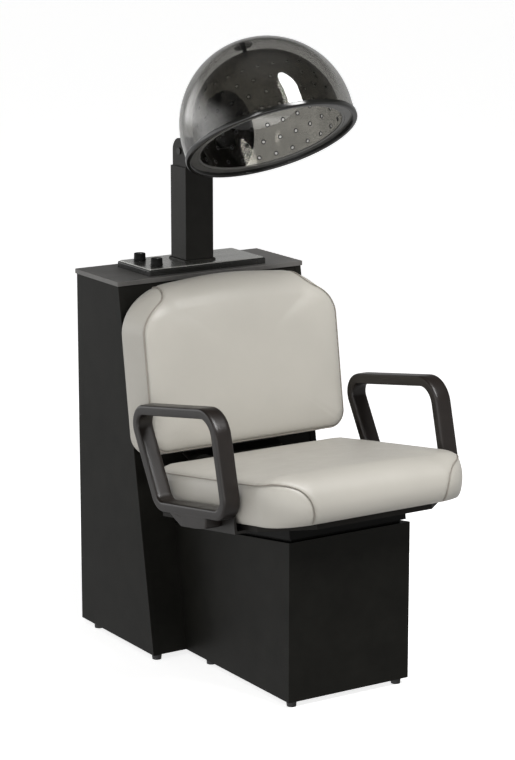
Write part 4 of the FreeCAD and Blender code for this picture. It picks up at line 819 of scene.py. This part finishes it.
def holeBands():
    # the bands of the liner that hold its rows of holes, as arc lengths: arc = h on the skirt and
    # skirt + r asin((h - skirt) / r) above it. Every second row moves on by half a cell
    size = hoodSize
    radius, skirt = size["linerRadius"], size["skirt"]
    centres = [h if h <= skirt else skirt + radius * math.asin((h - skirt) / radius)
               for h in size["rows"]]
    edges = [size["linerFoot"]] + [(a + b) / 2 for a, b in zip(centres, centres[1:])]
    edges.append(centres[-1] + (centres[-1] - edges[-1]))
    return [{"low": edges[i], "centre": centre, "high": edges[i + 1], "shift": 0.5 * (i % 2),
             "reach": radius * math.cos(max(centre - skirt, 0) / radius)}
            for i, centre in enumerate(centres)]


def makeLiner():
    # each band is cut into cells, whose rings run from a square edge to the round hole by
    # p = square * (1 - s) + hole * s. Above the bands the shell closes plainly
    size = hoodSize
    radius, count, side = size["linerRadius"], size["perRow"], 8
    cellAngle = 2 * math.pi / count
    bands = holeBands()
    t, ones = np.linspace(-1, 1, side + 1)[:-1], np.ones(side)
    sides = ((t, -ones), (ones, t), (-t, ones), (-ones, -t))
    square = np.concatenate([np.stack(pair, -1) for pair in sides])
    angle = np.arctan2(square[:, 1], square[:, 0])
    s = np.array([0.0, 0.35, 0.62, 0.82, 1.0])[:, None]
    step = np.arange(count * side) * cellAngle / side
    skins, crowns, feet = [], [], []
    for depth in (0.0, size["linerWall"]):
        share = (radius - depth) / radius
        cells = []
        for band in bands:
            centre = band["centre"]
            rise = np.where(square[:, 1] < 0, centre - band["low"], band["high"] - centre)
            arc = (rise * square[:, 1] + centre) * (1 - s) + (centre + size["hole"] * np.sin(angle)) * s
            azimuth = (square[:, 0] * cellAngle / 2 * (1 - s)
                       + size["hole"] * np.cos(angle) / band["reach"] * s)
            for k in range(count):
                turn = (k + band["shift"]) * cellAngle
                cells.append(onDome(radius - depth, innerArc(arc, share), azimuth + turn))
        skins.append(cells)
        crown = np.linspace(bands[-1]["high"], size["skirt"] + radius * math.pi / 2, 26)
        turn = (bands[-1]["shift"] - 0.5) * cellAngle
        crown, around = np.meshgrid(innerArc(crown, share), step + turn, indexing="ij")
        crowns.append((onDome(radius - depth, crown, around), True))
        feet.append(onDome(radius - depth, np.full(len(step), size["linerFoot"]), step - cellAngle / 2))
    patches = crowns + [(np.stack(feet), True)]
    for outerCell, innerCell in zip(*skins):
        patches += [(outerCell, True), (innerCell, True), (np.stack([outerCell[-1], innerCell[-1]]), True)]
    return pieceIn(hoodFrame, "domeLiner", patches, 2e-5)


def makeHoleShadeRings():
    # the near-black edge of each air hole, darker than the liner's own smoke, is painted shade of the
    # hole's wall; its (q, depth) section is carried round the hole by arc = centre + q sin a, azimuth =
    # middle + q cos a / reach
    size = hoodSize
    a = anglesRound(20)
    q, depth = np.array(size["eyelet"]).T[:, :, None]
    patches = []
    for band in holeBands():
        for k in range(size["perRow"]):
            middle = (k + band["shift"]) * 2 * math.pi / size["perRow"]
            patches.append((onDome(size["linerRadius"] - depth, band["centre"] + q * np.sin(a),
                                   middle + q * np.cos(a) / band["reach"]), True))
    return pieceIn(hoodFrame, "holeShadeRings", patches)


dress(sharpen(makeDomeShell(), 50), "smoke", "hood", "smoke", "dome_outer")
dress(sharpen(makeLiner(), 50), "liner", "hood", "liner", "dome_liner")
# the air holes' edges take the near-black seal finish as painted shade of their walls
dress(sharpen(makeHoleShadeRings(), 50), "seal", "hood", "liner")

# closed (radius, height) sections of the rim, and the bend of each corner
rims = {
    "greyRing": {
        "corners": [(163, 8.7), (163, 5.2), (168, 4.6), (169.5, 5.6), (185, 5.6), (186, 5.7),
                    (191, 5.7), (191, 8.7), (163, 8.7)],
        "bends": [0, 1.4, 1.2, 0.8, 0.5, 0.4, 0.3, 0.3, 0], "steps": 5, "sharp": 40,
        "slot": "ring", "node": "rim_ring",
    },
    "rimLip": {
        "corners": [(186.3, 5.5), (186.3, -2.7), (197.0, -2.7), (197.0, 8.3), (194.5, 8.3),
                    (194.4, 0.4), (189.2, 0.2), (189.0, 5.5), (186.3, 5.5)],
        "bends": [0, 3.2, 4.6, 1.1, 0.9, 0.3, 0.3, 1.0, 0], "steps": 7, "sharp": 60,
        "slot": "trim", "node": "rim_trim",
    },
}
for name, rim in rims.items():
    section = roundedProfile(rim["corners"], rim["bends"], rim["steps"])
    piece = pieceIn(hoodFrame, name, [(turnedProfile(section, 200), True)], 2e-6)
    dress(sharpen(piece, rim["sharp"]), rim["slot"], "hood", rim["slot"], rim["node"])

# black film inside the outer dome, from the duct's outline to an oval: half sizes across and up,
# about their levels
filmSize = {
    "duct": (28.5, 26.0), "ductLevel": 88.6, "squareness": 8, "oval": (74, 88), "ovalLevel": 95,
    "foot": 10.5, "skins": (190.9, 190.5),
}


def makeBacking():
    # p = duct(t) * (1 - s) + oval(t) * s between both outlines, laid on the shell by
    # y = sqrt(r^2 - x^2 - max(z - skirt, 0)^2)
    size = filmSize
    t = anglesRound(96)
    c, d = np.cos(t), np.sin(t)
    n = size["squareness"]
    reach = (np.abs(c / size["duct"][0]) ** n + np.abs(d / size["duct"][1]) ** n) ** (-1 / n)
    duct = np.stack([reach * c, size["ductLevel"] + reach * d], -1)
    oval = np.stack([size["oval"][0] * c, size["ovalLevel"] + size["oval"][1] * d], -1)
    s = np.linspace(0, 1, 16)[:, None, None]
    flat = duct * (1 - s) + oval * s
    x, z = flat[..., 0], np.maximum(flat[..., 1], size["foot"])
    over = np.maximum(z - hoodSize["skirt"], 0)
    back, front = (np.stack([x, np.sqrt(r ** 2 - x ** 2 - over ** 2), z], -1) for r in size["skins"])
    patches = [(grid, True) for grid in (back, front, np.stack([back[0], front[0]]),
                                         np.stack([back[-1], front[-1]]))]
    film = pieceIn(hoodFrame, "domeBacking", patches)
    dress(sharpen(film, 50), "film", "hood", "duct")


makeBacking()
print("hood shells turned")


# Knobs, in mm; "step" is the inset and rise above the skirt, and "dish" the insets and depth of
# the hollow in the cap
knobSize = {
    "radius": 14.5, "top": 13.4, "height": 17.0, "flutes": 24, "fluteDepth": 0.45, "skirt": 3.0,
    "step": (0.7, 0.6), "dish": (2.4, 3.0, 0.7), "bends": [0, 0.6, 0.4, 0.3, 1.3, 0.4, 0.4, 0],
    "gripFrom": (3.4, 4.6), "gripTo": (15.2, 16.4), "around": 144,
}
pointerSize = {"half": 0.65, "near": 2.0, "far": 9.6, "thick": 0.35, "sunk": 0.75}
dialSize = {"radius": 17.0, "half": 0.35, "long": 3.2, "short": 1.9, "thick": 0.12, "sunk": 0.02}
knobs = {
    "timer": {"x": -0.117, "y": 0.2993, "marks": 13, "sweep": 300},
    "heat": {"x": -0.117, "y": 0.3773, "marks": 10, "sweep": 270},
}


def makeKnob(name, x, y, base, body, node):
    # r = radius - depth * (1 - cos(flutes * angle)) / 2 on the grip, plain below and above it
    size = knobSize
    radius, skirt, top, height = size["radius"], size["skirt"], size["top"], size["height"]
    inset, rise = size["step"]
    rim, edge, deep = size["dish"]
    profile = roundedProfile([(0, 0), (radius, 0), (radius, skirt), (radius - inset, skirt + rise),
                              (top, height), (top - rim, height), (top - edge, height - deep),
                              (0, height - deep)], size["bends"], 5)
    grid = turnedProfile(profile, size["around"])
    angle = anglesRound(size["around"])
    grip = smoothStep(*size["gripFrom"], grid[..., 2]) * (1 - smoothStep(*size["gripTo"], grid[..., 2]))
    r = np.maximum(np.hypot(grid[..., 0], grid[..., 1]), 1e-6)
    scale = 1 - grip * size["fluteDepth"] * (1 - np.cos(size["flutes"] * angle))[None, :] / 2 / r
    grid[..., :2] *= scale[..., None]
    piece = surfacePiece(name, [(grid * mm + np.array([x, y, base]), True)])
    dress(sharpen(piece, 45), "knob", body, "knob", node)


def bar(start, end, half, low, high):
    # a small flat bar along X between two levels: a ring of four corners at each, closed by its
    # middle
    corners = np.array([(start, -half), (end, -half), (end, half), (start, half)])
    middle = np.tile(corners.mean(axis=0), (4, 1))
    rings = zip((middle, corners, corners, middle), (low, low, high, high))
    return np.stack([np.concatenate([ring, np.full((4, 1), z)], -1) for ring, z in rings])


def turnedBar(grid, turn, place):
    # turned about Z: x' = x cos t - y sin t, y' = x sin t + y cos t, then moved into place
    c, s = math.cos(turn), math.sin(turn)
    x, y, z = grid[..., 0], grid[..., 1], grid[..., 2]
    return np.stack([x * c - y * s, x * s + y * c, z], -1) * mm + np.array(place)


def makePointer(name, x, y, base, body):
    # one bar on the cap, turned to the front
    size = pointerSize
    mark = bar(size["near"], size["far"], size["half"], 0.0, size["thick"])
    place = (x, y, base + (knobSize["height"] - size["sunk"]) * mm)
    piece = surfacePiece(name, [(turnedBar(mark, -math.pi / 2, place), True)])
    dress(sharpen(piece, 40), "pointer", body, "knob")


def makeDial(name, x, y, level, marks, sweep):
    # bars on a circle round the knob, every third one longer
    size = dialSize
    near, low = size["radius"], -size["sunk"]
    patches = []
    for k in range(marks):
        length = size["short"] if k % 3 else size["long"]
        mark = bar(near, near + length, size["half"], low, low + size["thick"])
        turn = math.radians(-90 - k * sweep / (marks - 1))
        patches.append((turnedBar(mark, turn, (x, y, level)), True))
    dress(sharpen(surfacePiece(name, patches), 40), "dial", "cabinet", "plate")


for body, knob in knobs.items():
    node, x, y = body + "_knob", knob["x"], knob["y"]
    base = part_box(node)[0][2]
    makeKnob(body + "Knob", x, y, base, body, node)
    makePointer(body + "Pointer", x, y, base, body)
    makeDial(body + "Dial", x, y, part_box("console_plate")[1][2], knob["marks"], knob["sweep"])
print("knobs and dials placed")


# Studio: a floor that looks white and lights nothing, two soft strips and a surround
floorReach = 60.0
lamps = {
    "tallStrip": {"place": (0.44, -1.93, 3.50), "aim": (0, -0.1, 0.95), "size": (0.95, 2.5), "power": 145},
    "sideStrip": {"place": (-2.10, -1.64, 2.62), "aim": (0, 0, 1.2), "size": (0.42, 1.1), "power": 14},
}
# smooth steps along an axis of the direction: from, to, and the values at both
surround = {
    "across": ("X", -0.30, -0.06, 2.5, 0.0), "up": ("Z", -0.02, 0.46, 1.0, 0.0),
    "low": ("Z", -0.14, -0.01, 0.12, 1.0), "band": ("Z", 0.20, 0.44, 0.46, 0.05),
    "ceiling": ("Z", 0.8, 1.0, 0.0, 0.2),
}
photoView = {"place": (-3.150, -4.8907, 1.9955), "down": 12.98, "turn": -32.518, "lens": 125.33,
             "sensor": 36}

across = np.array([-floorReach, floorReach])
x, y = np.meshgrid(across, across)
floor = surfacePiece("paleFloor", [(np.stack([x, y, 0 * x], -1), False)])
floor.data.materials.append(newFinish("paleFloorPaint", (0.9, 0.9, 0.89), 0.6,
                                      {"Emission Color": (1, 1, 1, 1), "Emission Strength": 0.8}))
floor.visible_diffuse = floor.visible_glossy = False

for name, strip in lamps.items():
    lamp = bpy.data.lights.new(name, "AREA")
    lamp.shape = "ELLIPSE"
    lamp.size, lamp.size_y = strip["size"]
    lamp.energy = strip["power"]
    rig = addObject(name, lamp)
    rig.visible_camera = False
    rig.location = strip["place"]
    ahead = Vector(strip["aim"]) - Vector(strip["place"])
    rig.rotation_euler = ahead.to_track_quat("-Z", "Y").to_euler()


def surroundLight():
    # a bright wall to the left, a grey band round the horizon and a dark ceiling:
    # strength = across * up * low + band + ceiling, and 1 where the camera sees it directly
    world = bpy.data.worlds.new("studioSurround")
    world.use_nodes = True
    tree = world.node_tree
    way = addNode(tree, "SeparateXYZ", {"Vector": addNode(tree, "TexCoord", {}).outputs["Generated"]})
    part = {}
    for name, (axis, low, high, start, end) in surround.items():
        node = addNode(tree, "MapRange", {"Value": way.outputs[axis], "From Min": low, "From Max": high,
                                          "To Min": start, "To Max": end})
        node.interpolation_type = "SMOOTHSTEP"
        part[name] = node.outputs["Result"]

    def joined(kind, first, second):
        # two values into one
        node = addNode(tree, "Math", {0: first, 1: second})
        node.operation = kind
        return node.outputs["Value"]

    wall = joined("MULTIPLY", joined("MULTIPLY", part["across"], part["up"]), part["low"])
    light = joined("ADD", wall, joined("ADD", part["band"], part["ceiling"]))
    seen = addNode(tree, "LightPath", {}).outputs["Is Camera Ray"]
    background = tree.nodes["Background"]
    background.inputs["Color"].default_value = (1, 1, 1, 1)
    tree.links.new(joined("MAXIMUM", light, seen), background.inputs["Strength"])
    return world


scene = bpy.context.scene
scene.world = surroundLight()
scene.view_settings.view_transform = "Standard"

cameraData = bpy.data.cameras.new("photoView")
cameraData.sensor_width = photoView["sensor"]
cameraData.lens = photoView["lens"]
cameraData.clip_end = 200
camera = addObject("photoView", cameraData)
camera.location = photoView["place"]
camera.rotation_euler = (math.radians(90 - photoView["down"]), 0, math.radians(photoView["turn"]))
scene.camera = camera
print("studio lit")
